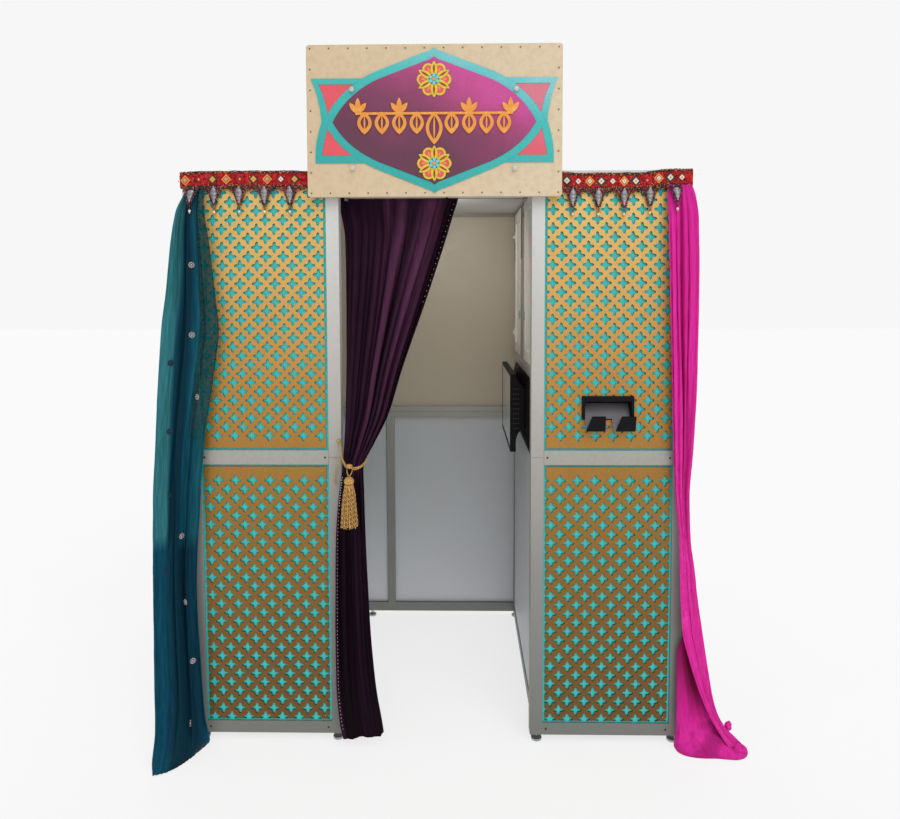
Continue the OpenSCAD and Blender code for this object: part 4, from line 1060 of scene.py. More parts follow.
def chute_tray():
    """The sloping plate with its notch, and the two slanted tabs in front of it."""
    build = Build()
    bezel_a, bezel_b = local_box("chute_bezel")
    low, high = local_box("chute_tray")
    left, right, top, back = bezel_a.x, bezel_b.x, bezel_b.z, high.y
    slope_top = top - 30
    lip_y, lip_z = -27.5, top - 117
    notch_a, notch_b, notch_z = left + 80, left + 103, top - 81
    tab_height = 52

    def prism(x0, x1, outline, mat):
        count = len(outline)
        verts = [(x, y, z) for x in (x0, x1) for y, z in outline]
        faces = [tuple(range(count)), tuple(reversed(range(count, 2 * count)))]
        faces += [(i, i + count, (i + 1) % count + count, (i + 1) % count) for i in range(count)]
        build.put((verts, faces), mat)

    def plate(x0, x1, y, z):
        """Bent steel from the top of the slope down to a rounded edge at y and z."""
        prism(x0, x1, [(back, slope_top), (back - 3.4, slope_top + 0.6), (y, z + 3.6),
                       (y - 1.2, z + 1.6), (y + 0.6, z)], GREY_PLATE)

    cheek = [(back, top - 18), (-4, top - 18), (-4, top - 97), (back, top - 97)]
    prism(right - 12, right - 3, cheek, BLACK)
    cut = (notch_z - lip_z) / (slope_top - lip_z)
    cut_y, cut_z = lerp(lip_y, back, cut), lerp(lip_z, slope_top, cut)
    plate(low.x - 1, notch_a, lip_y, lip_z)
    plate(notch_a, notch_b, cut_y, cut_z)
    plate(notch_b, right - 8, lip_y, lip_z)
    build.put(tube([(x, cut_y - 1.6, cut_z + 1.6) for x in (notch_a, notch_b)], 1.3, 8), BLACK)
    for top_a, top_b, foot_b, foot_a in ((29, 77, 75, 10), (130, 181, 178, 111)):
        outline = [(top_a, tab_height - 2), (foot_a, 2), (foot_a + 1, 0), (foot_b - 2, 0), (foot_b, 2),
                   (top_b, tab_height - 2), (top_b - 2, tab_height), (top_a + 2, tab_height)]
        build.put(slab(outline, 3, 0.8), BLACK, (left, lip_y - 0.3, lip_z))
    build.piece("chute_parts", "booth", False, ["chute_tray"])


chute_tray()


# ---------- monitor details ----------

def monitor_vents():
    """Rows of vent dots on the monitor's two ends."""
    build = Build()
    low, high = local_box("monitor_shell")
    spot = lathe([(0, 0.2), (2.3, 0.2), (2.6, 0), (2.6, -0.8), (0, -0.8)], 12)
    first_z, pitch_z = 1085, 19
    first_x, pitch_x = low.x + 14, 9
    for y, facing in ((low.y, -1), (high.y, 1)):
        for row in range(3):
            for k in range(9):
                build.put(spot, DARK_STEEL, (first_x + row * pitch_x, y, first_z + k * pitch_z),
                          turned(-90 * facing, "X"))
    build.piece("monitor_vents", "booth", True)


monitor_vents()


# ---------- hanging cloth ----------

def rows_at(rows, z):
    """Reads a table of rows (height, value, value, ...) at a height, with smooth steps between."""
    if z >= rows[0][0]:
        return rows[0][1:]
    for high, low in zip(rows, rows[1:]):
        if z >= low[0]:
            t = (high[0] - z) / (high[0] - low[0])
            before = rows[max(rows.index(high) - 1, 0)]
            after = rows[min(rows.index(low) + 1, len(rows) - 1)]
            out = []
            for i in range(1, len(high)):
                m0 = slope(before, high, low, i) * (low[0] - high[0])
                m1 = slope(high, low, after, i) * (low[0] - high[0])
                out.append(hermite(high[i], low[i], m0, m1, t))
            return out
    return rows[-1][1:]


def slope(a, b, c, i):
    """Limited slope at row b, so that the curve doesn't overshoot."""
    left = (b[i] - a[i]) / (b[0] - a[0]) if b[0] != a[0] else 0.0
    right = (c[i] - b[i]) / (c[0] - b[0]) if c[0] != b[0] else 0.0
    if left * right <= 0:
        return 0.0 if b is not a and c is not b else (left or right)
    return 2 * left * right / (left + right)


def hermite(p0, p1, m0, m1, t):
    return (p0 * (2 * t ** 3 - 3 * t ** 2 + 1) + m0 * (t ** 3 - 2 * t ** 2 + t)
            + p1 * (3 * t ** 2 - 2 * t ** 3) + m1 * (t ** 3 - t ** 2))


def edge_fade(u, power):
    """0 at both edges of a cloth and 1 in the middle."""
    return math.sin(math.pi * clamp(u)) ** power


def fold(u, z, count, seed, drift=0.5):
    """Depth of a hanging fold from -1 to 1 at a place across the cloth; folds differ in width."""
    wander = noise.noise(Vector((u * 2.3 + seed, z * 0.0009, seed * 3.1)))
    uneven = noise.noise(Vector((u * count * 0.55, z * 0.0004, seed + 1.7)))
    phase = TAU * (count * u + drift * wander + 0.42 * uneven)
    strength = 0.70 + 0.75 * noise.noise(Vector((u * count * 0.8, z * 0.0007, seed + 7)))
    wave = math.sin(phase) + 0.26 * math.sin(2 * phase + 1.3) + 0.12 * math.sin(3 * phase + 0.4)
    return wave * clamp(strength, 0.25, 1.2)


def crease(u, z, seed, scale=1.0):
    """Small wrinkles, longer than they are wide."""
    return (noise.noise(Vector((u * 26, z * 0.010 * scale, seed)))
            + 0.5 * noise.noise(Vector((u * 60, z * 0.026 * scale, seed + 3))))


def ridges(u, z, table, seed, wander=0.07):
    """Folds with their own places across the cloth: (place, height, width) each."""
    shift = wander * noise.noise(Vector((u * 2.0, z * 0.0011, seed)))
    return sum(height * math.exp(-((u + shift - place) / width) ** 2) for place, height, width in table)


CLOTH_T = 1.0


def sheet(name, place, across, down, mat, replaced=()):
    """Cloth through place(u, v), with u across and v down, both kept as its UV map."""
    verts = [at(*place(i / across, j / down)) for j in range(down + 1) for i in range(across + 1)]
    faces = grid_faces(down + 1, across + 1)
    mesh = bpy.data.meshes.new(name)
    mesh.from_pydata(verts, [], faces)
    mesh.materials.append(mat)
    mesh.polygons.foreach_set("use_smooth", [True] * len(faces))
    places = mesh.uv_layers.new(name="across_down")
    for loop in mesh.loops:
        j, i = divmod(loop.vertex_index, across + 1)
        places.data[loop.index].uv = (i / across, j / down)
    obj = as_piece(name, mesh, "booth", replaced)
    thicken(obj, CLOTH_T, 0)
    return obj


# Height, left edge, right edge, depth behind the front faces, depth of the folds
CURTAIN_ROWS = [
    (1962, -354, 82, 78, 9), (1930, -347, 78, 77, 12), (1884, -335, 63, 74, 17), (1800, -320, 38, 66, 22),
    (1580, -314, -34, 44, 23), (1340, -313, -117, 16, 20), (1180, -313, -166, -8, 17),
    (1085, -315, -213, -27, 13), (1004, -321, -250, -36, 10), (900, -335, -248, -35, 17),
    (756, -346, -244, -36, 19), (600, -349, -238, -37, 20), (420, -351, -230, -39, 21),
    (240, -350, -214, -41, 21), (98, -339, -193, -43, 20), (47, -327, -186, -45, 18)]
CURTAIN_FOLDS = 7.5
CURTAIN_RIDGES = ((0.05, 0.5, 0.04), (0.22, -0.3, 0.06), (0.40, 1.0, 0.035), (0.47, -0.9, 0.03),
                  (0.54, 0.9, 0.03), (0.61, -0.8, 0.04), (0.80, 1.1, 0.06), (0.92, -0.7, 0.03))
HEM_RIDGES = ((0.10, 0.7, 0.06), (0.24, -0.9, 0.06), (0.45, 0.6, 0.12), (0.62, -0.5, 0.07),
              (0.85, 0.9, 0.12))
TIE_Z = 1004


def curtain_place(u, v):
    z = lerp(CURTAIN_ROWS[0][0], CURTAIN_ROWS[-1][0], v)
    left, right, depth, deep = rows_at(CURTAIN_ROWS, z)
    low = smooth(940, 700, z)
    fine_folds = lerp(0.40, 0.62, smooth(0.15, 0.6, u)) * lerp(1.0, 0.10, low)
    wave = fine_folds * fold(u, z, CURTAIN_FOLDS, 2.0, 0.9)
    wave += 0.75 * (1 - low) * ridges(u, z, CURTAIN_RIDGES, 8.0, -0.05)
    wave += low * lerp(1.0, 0.35, smooth(0.85, 1.0, v)) * ridges(u, z, HEM_RIDGES, 8.0)
    side = 0.18 * deep * fold(u + 0.25 / CURTAIN_FOLDS, z, CURTAIN_FOLDS, 2.0, 0.9)
    pinch = 1 - 0.55 * math.exp(-((z - TIE_Z) / 34) ** 2)
    x = lerp(left, right, u) + side * edge_fade(u, 0.35)
    y = depth + deep * wave * pinch * 0.78 + 1.5 * crease(u, z, 5)
    tie = 4 * math.exp(-((z - TIE_Z) / 10) ** 2)
    hem = smooth(0.92, 1.0, v)
    z += hem * (18 * smooth(0.88, 1.0, u) ** 2 - 9 * (1 - smooth(0.12, 0.45, u)))
    return x, y + tie, z


def curtain():
    """The cloth, rows of sequins and beads along its edges, and its rolled hems."""
    sheet("curtain_cloth", curtain_place, 260, 200, CURTAIN, ["curtain"])
    build = Build()
    sequin = lathe([(0, 0.9), (1.7, 0.7), (2.2, 0), (1.7, -0.5), (0, -0.6)], 8)
    small, pale_sequin = ball(1.2, 6, 4), ball(1.7, 7, 5)
    top, low = CURTAIN_ROWS[0][0], CURTAIN_ROWS[-1][0]

    def on_cloth(u, z):
        return curtain_place(u, (top - z) / (top - low))

    for u, z0, z1, step, shape, mat in (
            (0.975, 1915, 1560, 19, small, PEARL), (0.945, 1925, 1050, 21, small, MAROON),
            (0.04, 968, 868, 9, sequin, SILVER), (0.045, 868, 62, 13, pale_sequin, SILVER),
            (0.085, 962, 62, 19, small, MAROON)):
        z = z0
        while z > z1:
            x, y, _ = on_cloth(u, z)
            build.put(shape, mat, (x, y - 2.0, z), FACING_FRONT)
            z -= step
    build.piece("curtain_sequins", "booth")
    hems = Build()
    edge = 0.004
    for u in (edge, 1 - edge):
        hems.put(tube([on_cloth(u, lerp(1950, 48, k / 90)) for k in range(91)], 1.5, 8), CURTAIN)
    foot = [curtain_place(lerp(edge, 1 - edge, k / 160), 0.9995) for k in range(161)]
    hems.put(tube(foot, 1.6, 8), CURTAIN)
    hems.piece("curtain_hems", "booth")


curtain()


# Height, left x, left y, right x, right y, depth of the folds
TEAL_ROWS = [
    (1964, -842, -14, -790, -12, 4), (1930, -856, -26, -787, -20, 8), (1880, -874, -38, -783, -28, 14),
    (1780, -889, -46, -768, -32, 20), (1600, -908, -52, -751, -32, 23), (1480, -924, -56, -740, -34, 23),
    (1390, -931, -58, -750, -35, 23), (1300, -939, -58, -764, -35, 23), (1075, -954, -60, -800, -36, 22),
    (890, -965, -64, -816, -37, 22), (600, -970, -70, -834, -38, 22), (300, -968, -84, -824, -40, 22),
    (110, -956, -116, -812, -42, 22), (36, -948, -164, -800, -40, 16), (6, -938, -190, -812, -22, 3)]
TEAL_FOLDS = 3.2
# Ridges (+) and valleys (-) across the cloth: place, height, width
TEAL_RIDGES = ((0.03, 0.8, 0.07), (0.25, -1.1, 0.12), (0.50, 1.2, 0.07), (0.66, -0.8, 0.05),
               (0.80, 0.6, 0.06), (0.93, -0.4, 0.05), (1.0, 0.4, 0.04))


def teal_place(u, v):
    z = lerp(TEAL_ROWS[0][0], TEAL_ROWS[-1][0], v ** 0.97)
    x0, y0, x1, y1, deep = rows_at(TEAL_ROWS, z)
    wave = 0.35 * fold(u, z, TEAL_FOLDS, 11.0, 0.7) + 0.9 * ridges(u, z, TEAL_RIDGES, 5.0)
    side = 0.30 * deep * fold(u + 0.25 / TEAL_FOLDS, z, TEAL_FOLDS, 11.0, 0.7)
    low = smooth(240, 30, z)
    y = lerp(y0, y1, u ** lerp(1.0, 2.2, low))
    x = lerp(x0, x1, u) + side * edge_fade(u, 0.4)
    y -= deep * 0.62 * wave - 1.8 * crease(u, z, 9)
    return x, min(y, -7), max(z + 2.5 * low * crease(u, z, 4), 2.0)


def flower(radius, petals):
    """A small applied flower that lies flat, facing +z."""
    heart = lathe([(0, 1.9), (radius * 0.3, 1.5), (radius * 0.34, 0), (0, -0.2)], 12)
    lobe = lathe([(0, 1.5), (radius * 0.2, 1.2), (radius * 0.26, 0), (0, -0.2)], 10)
    places = circle_points(radius * 0.66, petals)
    return [(heart, Vector())] + [(lobe, Vector((x, y, 0))) for x, y in places]


def teal_drape():
    obj = sheet("teal_cloth", teal_place, 150, 220, TEAL, ["teal_drape"])
    build = Build()
    cloth_faces = [p.vertices for p in obj.data.polygons]
    tree = BVHTree.FromPolygons([v.co for v in obj.data.vertices], cloth_faces)
    pale = [(-824, 1700), (-826, 1463), (-815, 1250), (-880, 766), (-872, 532), (-852, 321), (-856, 110)]
    dark = [(-905, 1367), (-916, 1129), (-922, 910), (-935, 640)]
    for places, mat in ((pale, MOTIF), (dark, DARK_MOTIF)):
        for x, z in places:
            hit, normal, _, _ = tree.ray_cast(at(x, -600, z), Vector((0, 1, 0)))
            if normal.y > 0:
                normal = -normal
            turn = normal.to_track_quat("Z", "Y").to_matrix()
            spot = (hit - at(0, 0, 0)) / MM
            for shape, offset in flower(12, 8):
                build.put(shape, mat, spot + turn @ (offset + Vector((0, 0, 0.8))), turn)
    build.piece("teal_motifs", "booth")


teal_drape()


# Height, left x, left y, right x, right y, depth of the folds
MAGENTA_ROWS = [
    (1966, 790, -14, 868, -12, 3), (1930, 784, -22, 878, -20, 8), (1850, 786, -30, 887, -28, 13),
    (1600, 794, -32, 893, -28, 17), (1294, 806, -32, 892, -27, 17), (1057, 815, -32, 884, -27, 15),
    (902, 824, -32, 874, -27, 12), (759, 838, -34, 879, -28, 9), (640, 841, -38, 895, -30, 8),
    (560, 844, -40, 904, -31, 7), (440, 850, -46, 922, -32, 7), (330, 876, -50, 940, -33, 7),
    (230, 908, -52, 957, -34, 7), (150, 941, -54, 976, -34, 7), (90, 974, -60, 1006, -36, 7),
    (52, 998, -66, 1042, -34, 7), (22, 1020, -62, 1070, -26, 6)]
MAGENTA_RIDGES = ((0.10, 0.3, 0.10), (0.30, 0.4, 0.12), (0.47, -1.0, 0.04), (0.56, 0.5, 0.05),
                  (0.68, -0.6, 0.04), (0.86, 0.5, 0.08))
INNER_RIDGES = ((0.3, 1.1, 0.10), (0.62, -0.8, 0.10))


def magenta_place(u, v):
    z = lerp(MAGENTA_ROWS[0][0], MAGENTA_ROWS[-1][0], v)
    x0, y0, x1, y1, deep = rows_at(MAGENTA_ROWS, z)
    wave = 0.3 * fold(u, z, 2.6, 23.0, 0.8) + 0.85 * ridges(u, z, MAGENTA_RIDGES, 12.0)
    wave *= lerp(0.5, 1.0, smooth(640, 980, z))
    side = 0.3 * deep * fold(u + 0.1, z, 2.6, 23.0, 0.8)
    x = lerp(x0, x1, u) + side * edge_fade(u, 0.4)
    y = lerp(y0, y1, u) - 0.8 * deep * wave + 2.0 * crease(u, z, 31, 1.6)
    return x, min(y, -6), z


# Outer edge of the cloth on the floor, from the left round the front to the right
PUDDLE = [(838, -14), (842, -46), (862, -66), (892, -76), (930, -80), (968, -80), (1000, -84), (1034, -86),
          (1062, -76), (1080, -56), (1088, -30), (1082, -6), (1060, 6)]
# Heights of the inner layer's top, of the opening beside the flap, and of its turn to the floor
INNER_TOP = 470
INNER_OPENING = 430
INNER_TURN = 125
# Part of the inner layer's length that hangs
INNER_HANGS = 0.50


def puddle_rim(u):
    points = len(PUDDLE) - 1
    k = min(int(u * points), points - 1)
    before, after = PUDDLE[max(k - 1, 0)], PUDDLE[min(k + 2, points)]
    t = u * points - k
    out = []
    for axis in (0, 1):
        m0 = (PUDDLE[k + 1][axis] - before[axis]) / 2
        m1 = (after[axis] - PUDDLE[k][axis]) / 2
        out.append(hermite(PUDDLE[k][axis], PUDDLE[k + 1][axis], m0, m1, t))
    return out


def inner_place(u, v):
    """The layer behind the flap: it hangs in shade, then rolls over and spreads on the floor."""
    if v <= INNER_HANGS:
        z = lerp(INNER_TOP, INNER_TURN, v / INNER_HANGS)
        reach = smooth(INNER_OPENING, INNER_TURN, z)
        left = lerp(868, 842, smooth(INNER_OPENING, 345, z))
        x = lerp(left, lerp(900, 974, reach ** 1.6), u)
        wave = 0.6 * fold(u, z, 2.4, 41.0, 0.7) + ridges(u, z, INNER_RIDGES, 3.0)
        y = lerp(-16, -20, reach) - lerp(3, 7, reach) * wave - 6 * reach ** 3
        return x, min(y, -6), z
    t = (v - INNER_HANGS) / (1 - INNER_HANGS)
    x0, y0, _ = inner_place(u, INNER_HANGS)
    x1, y1 = puddle_rim(u)
    out = t ** 0.95
    spoke = noise.noise(Vector((u * 9, 1.8 * t, 3.0)))
    spoke += 0.6 * noise.noise(Vector((u * 17, 4.5 * t, 8.0)))
    swirl = u * 3.4 + 0.5 * t + 0.6 * noise.noise(Vector((u * 3, t * 2.0, 6.0)))
    ridge = 0.5 + 0.5 * math.sin(TAU * swirl)
    flare = (INNER_TURN - 3) * (1 - t) ** 2.4
    roll = 26 * math.sqrt(max(0.0, 1 - out ** 2.6)) * lerp(1.0, 0.7, smooth(0.75, 1.0, u))
    z = 3 + flare + roll * smooth(0, 0.6, t) * (0.66 + 0.75 * ridge * t + 0.9 * spoke)
    bulge = 8 * spoke * math.sin(math.pi * t)
    return lerp(x0, x1, out) + bulge, lerp(y0, y1, out) + bulge, max(z, 2.5)


def magenta_drape():
    sheet("magenta_cloth", magenta_place, 150, 190, MAGENTA, ["magenta_drape"])
    sheet("magenta_inner", inner_place, 150, 130, MAGENTA_DEEP)
    build = Build()
    verts, faces = ball(11, 28, 20, 1.7)
    lumps = []
    for v in verts:
        v = Vector(v)
        swirl = 1 + 0.16 * math.sin(5 * math.atan2(v.y, v.x) + 0.25 * v.z)
        swirl += 0.12 * noise.noise(v * 0.12)
        pinch = 1 - 0.35 * smooth(4, 18, v.z)
        lumps.append((v.x * swirl * pinch, v.y * swirl * pinch, v.z))
    build.put((lumps, faces), MAGENTA, (1024, -24, 84), in_plane(-12))
    obj = build.piece("magenta_knot", "booth")
    places = obj.data.uv_layers.new(name="across_down")
    for loop in obj.data.loops:
        places.data[loop.index].uv = (0.2, 0.1)


magenta_drape()


# ---------- cord and tassel ----------

def rope(build, path, radius, twist_mm, samples=None):
    """A cord of two strands twisted round a path, one turn in every twist_mm."""
    path = [Vector(p) for p in path]
    lengths = [0.0]
    for a, b in zip(path, path[1:]):
        lengths.append(lengths[-1] + (b - a).length)
    total = lengths[-1]
    samples = samples or max(12, int(total / twist_mm * 12))
    points = []
    for k in range(samples + 1):
        d = total * k / samples
        i = 0
        while i < len(path) - 2 and lengths[i + 1] < d:
            i += 1
        t = (d - lengths[i]) / max(1e-6, lengths[i + 1] - lengths[i])
        points.append((path[i].lerp(path[i + 1], clamp(t)), d))
    for start in (0, 0.5):
        strand = []
        for k, (p, d) in enumerate(points):
            along = (points[min(k + 1, samples)][0] - points[max(k - 1, 0)][0]).normalized()
            side = along.cross(Vector((0.2, 1, 0.1))).normalized()
            other = along.cross(side)
            a = TAU * (d / twist_mm + start)
            strand.append(p + (side * math.cos(a) + other * math.sin(a)) * radius * 0.52)
        build.put(tube(strand, radius * 0.56, 7), CORD)


def curve_through(points):
    """Catmull-Rom curve through points, with a few steps from each point to the next."""
    steps = 8
    points = [Vector(p) for p in points]
    out = []
    for i in range(len(points) - 1):
        p0, p1 = points[max(i - 1, 0)], points[i]
        p2, p3 = points[i + 1], points[min(i + 2, len(points) - 1)]
        for k in range(steps):
            t = k / steps
            out.append(0.5 * ((2 * p1) + (p2 - p0) * t + (2 * p0 - 5 * p1 + 4 * p2 - p3) * t * t
                              + (3 * p1 - p0 - 3 * p2 + p3) * t ** 3))
    out.append(points[-1])
    return out


KNOT_X = -289


def tieback():
    """Two cords from the left post round the gathered curtain, tied in a ball-shaped knot."""
    build = Build()
    low, high = local_box("tieback")
    z = (low.z + high.z) / 2
    front, left, right = low.y, low.x + 2, high.x - 6
    knot = Vector((KNOT_X, front + 1, z + 16))
    cord_r, lay = 2.6, 11
    button = lathe([(0, 6), (5, 5), (7, 3), (6, 0), (0, 0)], 20)
    build.put(button, BRASS, (left, 0, z + 84), FACING_FRONT)
    for lower in (0, 5):
        to_post = [(left, -6, z + 88 - lower), (left + 12, -24, z + 68 - lower),
                   (left + 19, -46, z + 38 - lower), (knot.x - 11, front + 3, z + 18 - lower), knot]
        round_cloth = [knot, (knot.x + 14, front + 2, z + 11 - lower),
                       (right - 20, front + 5, z + 13 - lower * 0.8),
                       (right - 5, front + 14, z + 20 - lower * 0.5), (right + 1, -26, z + 27),
                       (right - 6, -6, z + 30)]
        rope(build, curve_through(to_post), cord_r, lay)
        rope(build, curve_through(round_cloth), cord_r, lay)
    knot_r = 8.2
    for k in range(9):
        turn = turned(20 * k, "Z") @ turned(38, "Y")
        turn_of_cord = [turn @ p + knot for p in ring_points(Vector(), knot_r, 28)]
        rope(build, turn_of_cord, 2.3, 10, 60)
    build.put(ball(knot_r, 16, 10), CORD, knot)
    loose_end = [(left + 7, -40, z + 30), (left, -30, z + 4), (left - 8, -18, z - 22),
                 (left - 13, -12, z - 48), (left - 9, -10, z - 66), (left - 2, -12, z - 60)]
    rope(build, curve_through(loose_end), 2.0, 10)
    build.piece("cord", "booth", True, ["tieback"])


tieback()


def tassel():
    """A netted ball on a loop, with a bound neck and a skirt of curled threads."""
    build = Build()
    low, high = local_box("tassel")
    x, y = (low.x + high.x) / 2 + 2, (low.y + high.y) / 2
    top, bottom = high.z, low.z
    head = bottom + 157
    head_r, neck = 15.8, head - 14
    for side in (-1, 1):
        loop = [(x + side * 10, y + 18, top + 14), (x + side * 7, y + 10, top + 2),
                (x + side * 3, y + 3, head + 19), (x, y, head + 11)]
        rope(build, curve_through(loop), 1.8, 9)
    build.put(ball(15.5, 24, 14, 0.92), TASSEL, (x, y, head))
    for k in range(12):
        for lean in (-0.9, 0.9):
            path = []
            for j in range(13):
                a = math.pi * (0.08 + 0.84 * j / 12)
                turn = TAU * k / 12 + lean * j / 12
                r = head_r * math.sin(a)
                path.append((x + r * math.cos(turn), y + r * math.sin(turn), head + 14.6 * math.cos(a)))
            build.put(tube(path, 1.0, 5), CORD)
    for ring_z, ring_r in ((head - 13, 12.5), (head - 17, 13.5), (head + 13, 6)):
        rope(build, ring_points(Vector((x, y, ring_z)), ring_r, 32), 2.6, 8)
    random.seed(5)
    # Threads in a layer, its part of the skirt's radius and its part of the length
    for count, share, reach in ((58, 1.0, 1.0), (56, 0.82, 0.99), (50, 0.55, 0.985)):
        outermost = share == 1.0
        joints = 36 if outermost else 8
        for k in range(count):
            a = TAU * (k + random.uniform(-0.3, 0.3)) / count
            length = (neck - 1 - bottom) * reach * random.uniform(0.93, 1.0)
            sway = random.uniform(-0.05, 0.05)
            path = []
            for j in range(joints + 1):
                t = j / joints
                r = share * (11.0 + 14.0 * t ** 0.7 + 1.8 * math.sin(6 * t + k))
                curl = 2.3 * min(1.0, 5 * t) * outermost
                twist = TAU * length * t / 15 + 2.4 * k
                r += curl * math.cos(twist)
                turn = a + sway * t
                path.append((x + r * math.cos(turn) + curl * math.sin(twist), y + r * math.sin(turn),
                             neck - length * t))
            build.put(tube(path, 1.7, 6), (TASSEL, CORD, TASSEL_DARK)[k % 3])
    build.piece("tassel_threads", "hanging_tassel", True, ["tassel"])


tassel()


# ---------- embroidered trim and beaded drops ----------

# Place of the first motif from the outer end, spacing and order, left band and right band:
# ring, spot, dark ring, small white diamond
TRIM_PLAN = {-1: (18, 47, "RSKRSKRWK"), 1: (37, 38.8, "WKRSKRWKRWK")}
TRIM_INNER = 429


def trim_sag(x):
    """How far the band hangs below its straight line; the right one sags beside the sign."""
    s = clamp((abs(x) - TRIM_INNER) / 440)
    if x < 0:
        return -2.5 * smooth(0.86, 1.0, s) + 1.5 * math.sin(math.pi * s)
    return -12 + 12 * smooth(0.60, 0.82, s) + 4 * smooth(0.12, 0.0, s)


def diamond(w, h):
    return [(w, 0), (0, h), (-w, 0), (0, -h)]


def trim_motif(build, spot, kind, mirrored, turn=Matrix.Identity(3)):
    """One embroidered diamond with loose stitches round it; mirrored ones have a white centre."""
    heart = THREAD_WHITE if mirrored else AMBER
    layers = {"R": ((16.5, AMBER), (11.5, TRIM_RED), (8.5, heart if mirrored else TAN), (3.5, MIRROR)),
              "S": ((10, WINE), (7, PINK), (4, AMBER)),
              "K": ((17, THREAD_BLACK), (14, LEAF), (10.5, heart), (4, TAN)),
              "W": ((12, THREAD_BLACK), (9.5, THREAD_WHITE), (3.5, TAN))}
    for level, (size, mat) in enumerate(layers[kind]):
        offset = Vector((0, -0.8 * level, 0))
        build.put(slab(diamond(size, size * 1.06), 0.9, 0.3), mat, spot + turn @ offset, turn)
    for _ in range(44):
        dx, dz = random.uniform(-23, 23), random.uniform(-21, 21)
        if abs(dx) + abs(dz) < 19:
            continue
        offset = Vector((dx, -0.7, dz))
        build.put(ball(random.uniform(1.2, 2.0), 6, 4), random.choice(STITCHES),
                  spot + turn @ offset, turn)


def trim_strip(a, b, half, depth, sag):
    """A slightly wavy woven strip from a to b, half as high on either side of its middle."""
    cols, rows = max(4, int((b - a) / 6)), 8
    verts = []
    for y in (-depth, 0):
        for i in range(cols + 1):
            px = lerp(a, b, i / cols)
            ragged = 1.2 * noise.noise(Vector((px * 0.05, 0, 4)))
            for j in range(rows + 1):
                pz = lerp(-half, half, j / rows)
                wave = 0.7 * noise.noise(Vector((px * 0.02, pz * 0.05, 1)))
                verts.append((px, y + wave, pz + ragged * (j in (0, rows)) + sag(px)))
    return verts, pad_faces(cols + 1, rows + 1)


def trim():
    """The two embroidered bands, each turned round the booth's corner at its outer end."""
    low, high = local_box("mirror_trim")
    middle, half, face = (low.z + high.z) / 2, (high.z - low.z) / 2, low.y
    build = Build()
    random.seed(3)
    bead, bead_step = ball(1.9, 6, 4), 3.4
    for side in (-1, 1):
        outer, inner = side * (high.x - 1), side * TRIM_INNER
        first, step, order = TRIM_PLAN[side]
        x0, x1 = sorted((inner, outer))
        band = trim_strip(x0, x1, half, 1.8, trim_sag)
        build.put(band, RED_CLOTH, (0, face + 2.4, middle))
        for k, kind in enumerate(order):
            x = outer - side * (first + k * step)
            trim_motif(build, Vector((x, face + 0.6, middle + trim_sag(x))), kind, side > 0)
        for dz in (-half - 1.0, -half + 2.2, -half + 5.4, half - 4.0, half - 1.0, half + 1.2):
            count = int(abs(outer - inner) / bead_step)
            for k in range(count):
                px = lerp(x0 + 3, x1 - 3, k / max(1, count - 1))
                wavy = 2.0 * noise.noise(Vector((px * 0.03, dz, 2))) + random.uniform(-0.5, 0.5)
                build.put(bead, random.choice(STITCHES),
                          (px, face - 0.2, middle + dz + wavy + trim_sag(px)))
        wrap = turned(90 * side, "Z")
        corner = Vector((side * (high.x - 1.2), face + 32, middle))
        build.put(trim_strip(-30, 30, half, 1.6, lambda x: 0), RED_CLOTH, corner, wrap)
        trim_motif(build, corner + Vector((side * 0.6, 0, 0)), "K", side > 0, wrap)
    build.piece("trim_band", "booth", False, ["mirror_trim"])


trim()


# Half width of the silver spindle by depth below the trim
SPINDLE = ((0, 4), (10, 10.5), (18, 14.5), (30, 11.5), (44, 6.5), (54, 2))
SPINDLE_LENGTH = 54
NET_LENGTH = 62
DROP_STEP = 87
NETTING = (MAROON, THREAD_BLACK, THREAD_BLACK, THREAD_BLACK, WINE, PINK)


def half_width(drop):
    for (d0, w0), (d1, w1) in zip(SPINDLE, SPINDLE[1:]):
        if drop <= d1:
            return lerp(w0, w1, (drop - d0) / (d1 - d0))
    return SPINDLE[-1][1]


def drop_depth(x, drop):
    """Where a drop lies: against the front, or over the shoulder of a drape at the ends."""
    hung = clamp(drop / 60)
    over_drape = 38 * math.sin(hung * math.pi / 2) ** 0.7
    return -9 - over_drape if abs(x) > 780 else -9 + 1.5 * hung


def spindle(build, x, top):
    """Stacked silver ribs on a dark core."""
    core = slab([(-11, -16), (-3, -50), (3, -50), (11, -16), (4, 0), (-4, 0)], 1.5, 0.5)
    build.put(core, THREAD_BLACK, (x, drop_depth(x, 20) + 1.5, top))
    drop = 0.0
    while drop < SPINDLE_LENGTH:
        w = half_width(drop)
        verts, faces = lathe([(0, 1.5), (w * 0.8, 1.3), (w, 0.2), (w * 0.86, -1.1), (0, -1.4)], 14)
        rib = ([(vx, vy * 0.5, vz) for vx, vy, vz in verts], faces)
        build.put(rib, SILVER, (x, drop_depth(x, drop) - 1.5, top - 2 - drop))
        drop += 4.4


def side_netting(build, x, top):
    """Knots on both sides of a spindle, in rows that grow narrower downwards."""
    knot = ball(2.3, 6, 4)
    drop = 4
    row = 0
    while drop < NET_LENGTH:
        reach = lerp(29, 7, clamp(drop / NET_LENGTH) ** 0.8)
        dx = half_width(drop) + (3.2 if row % 2 else 1.5)
        while dx < reach:
            for flank in (-1, 1):
                if random.random() < 0.88:
                    spot = (x + flank * dx, drop_depth(x, drop) + 1.5, top - drop)
                    build.put(knot, random.choice(NETTING), spot)
            dx += 3.2
        drop += 3.1
        row += 1


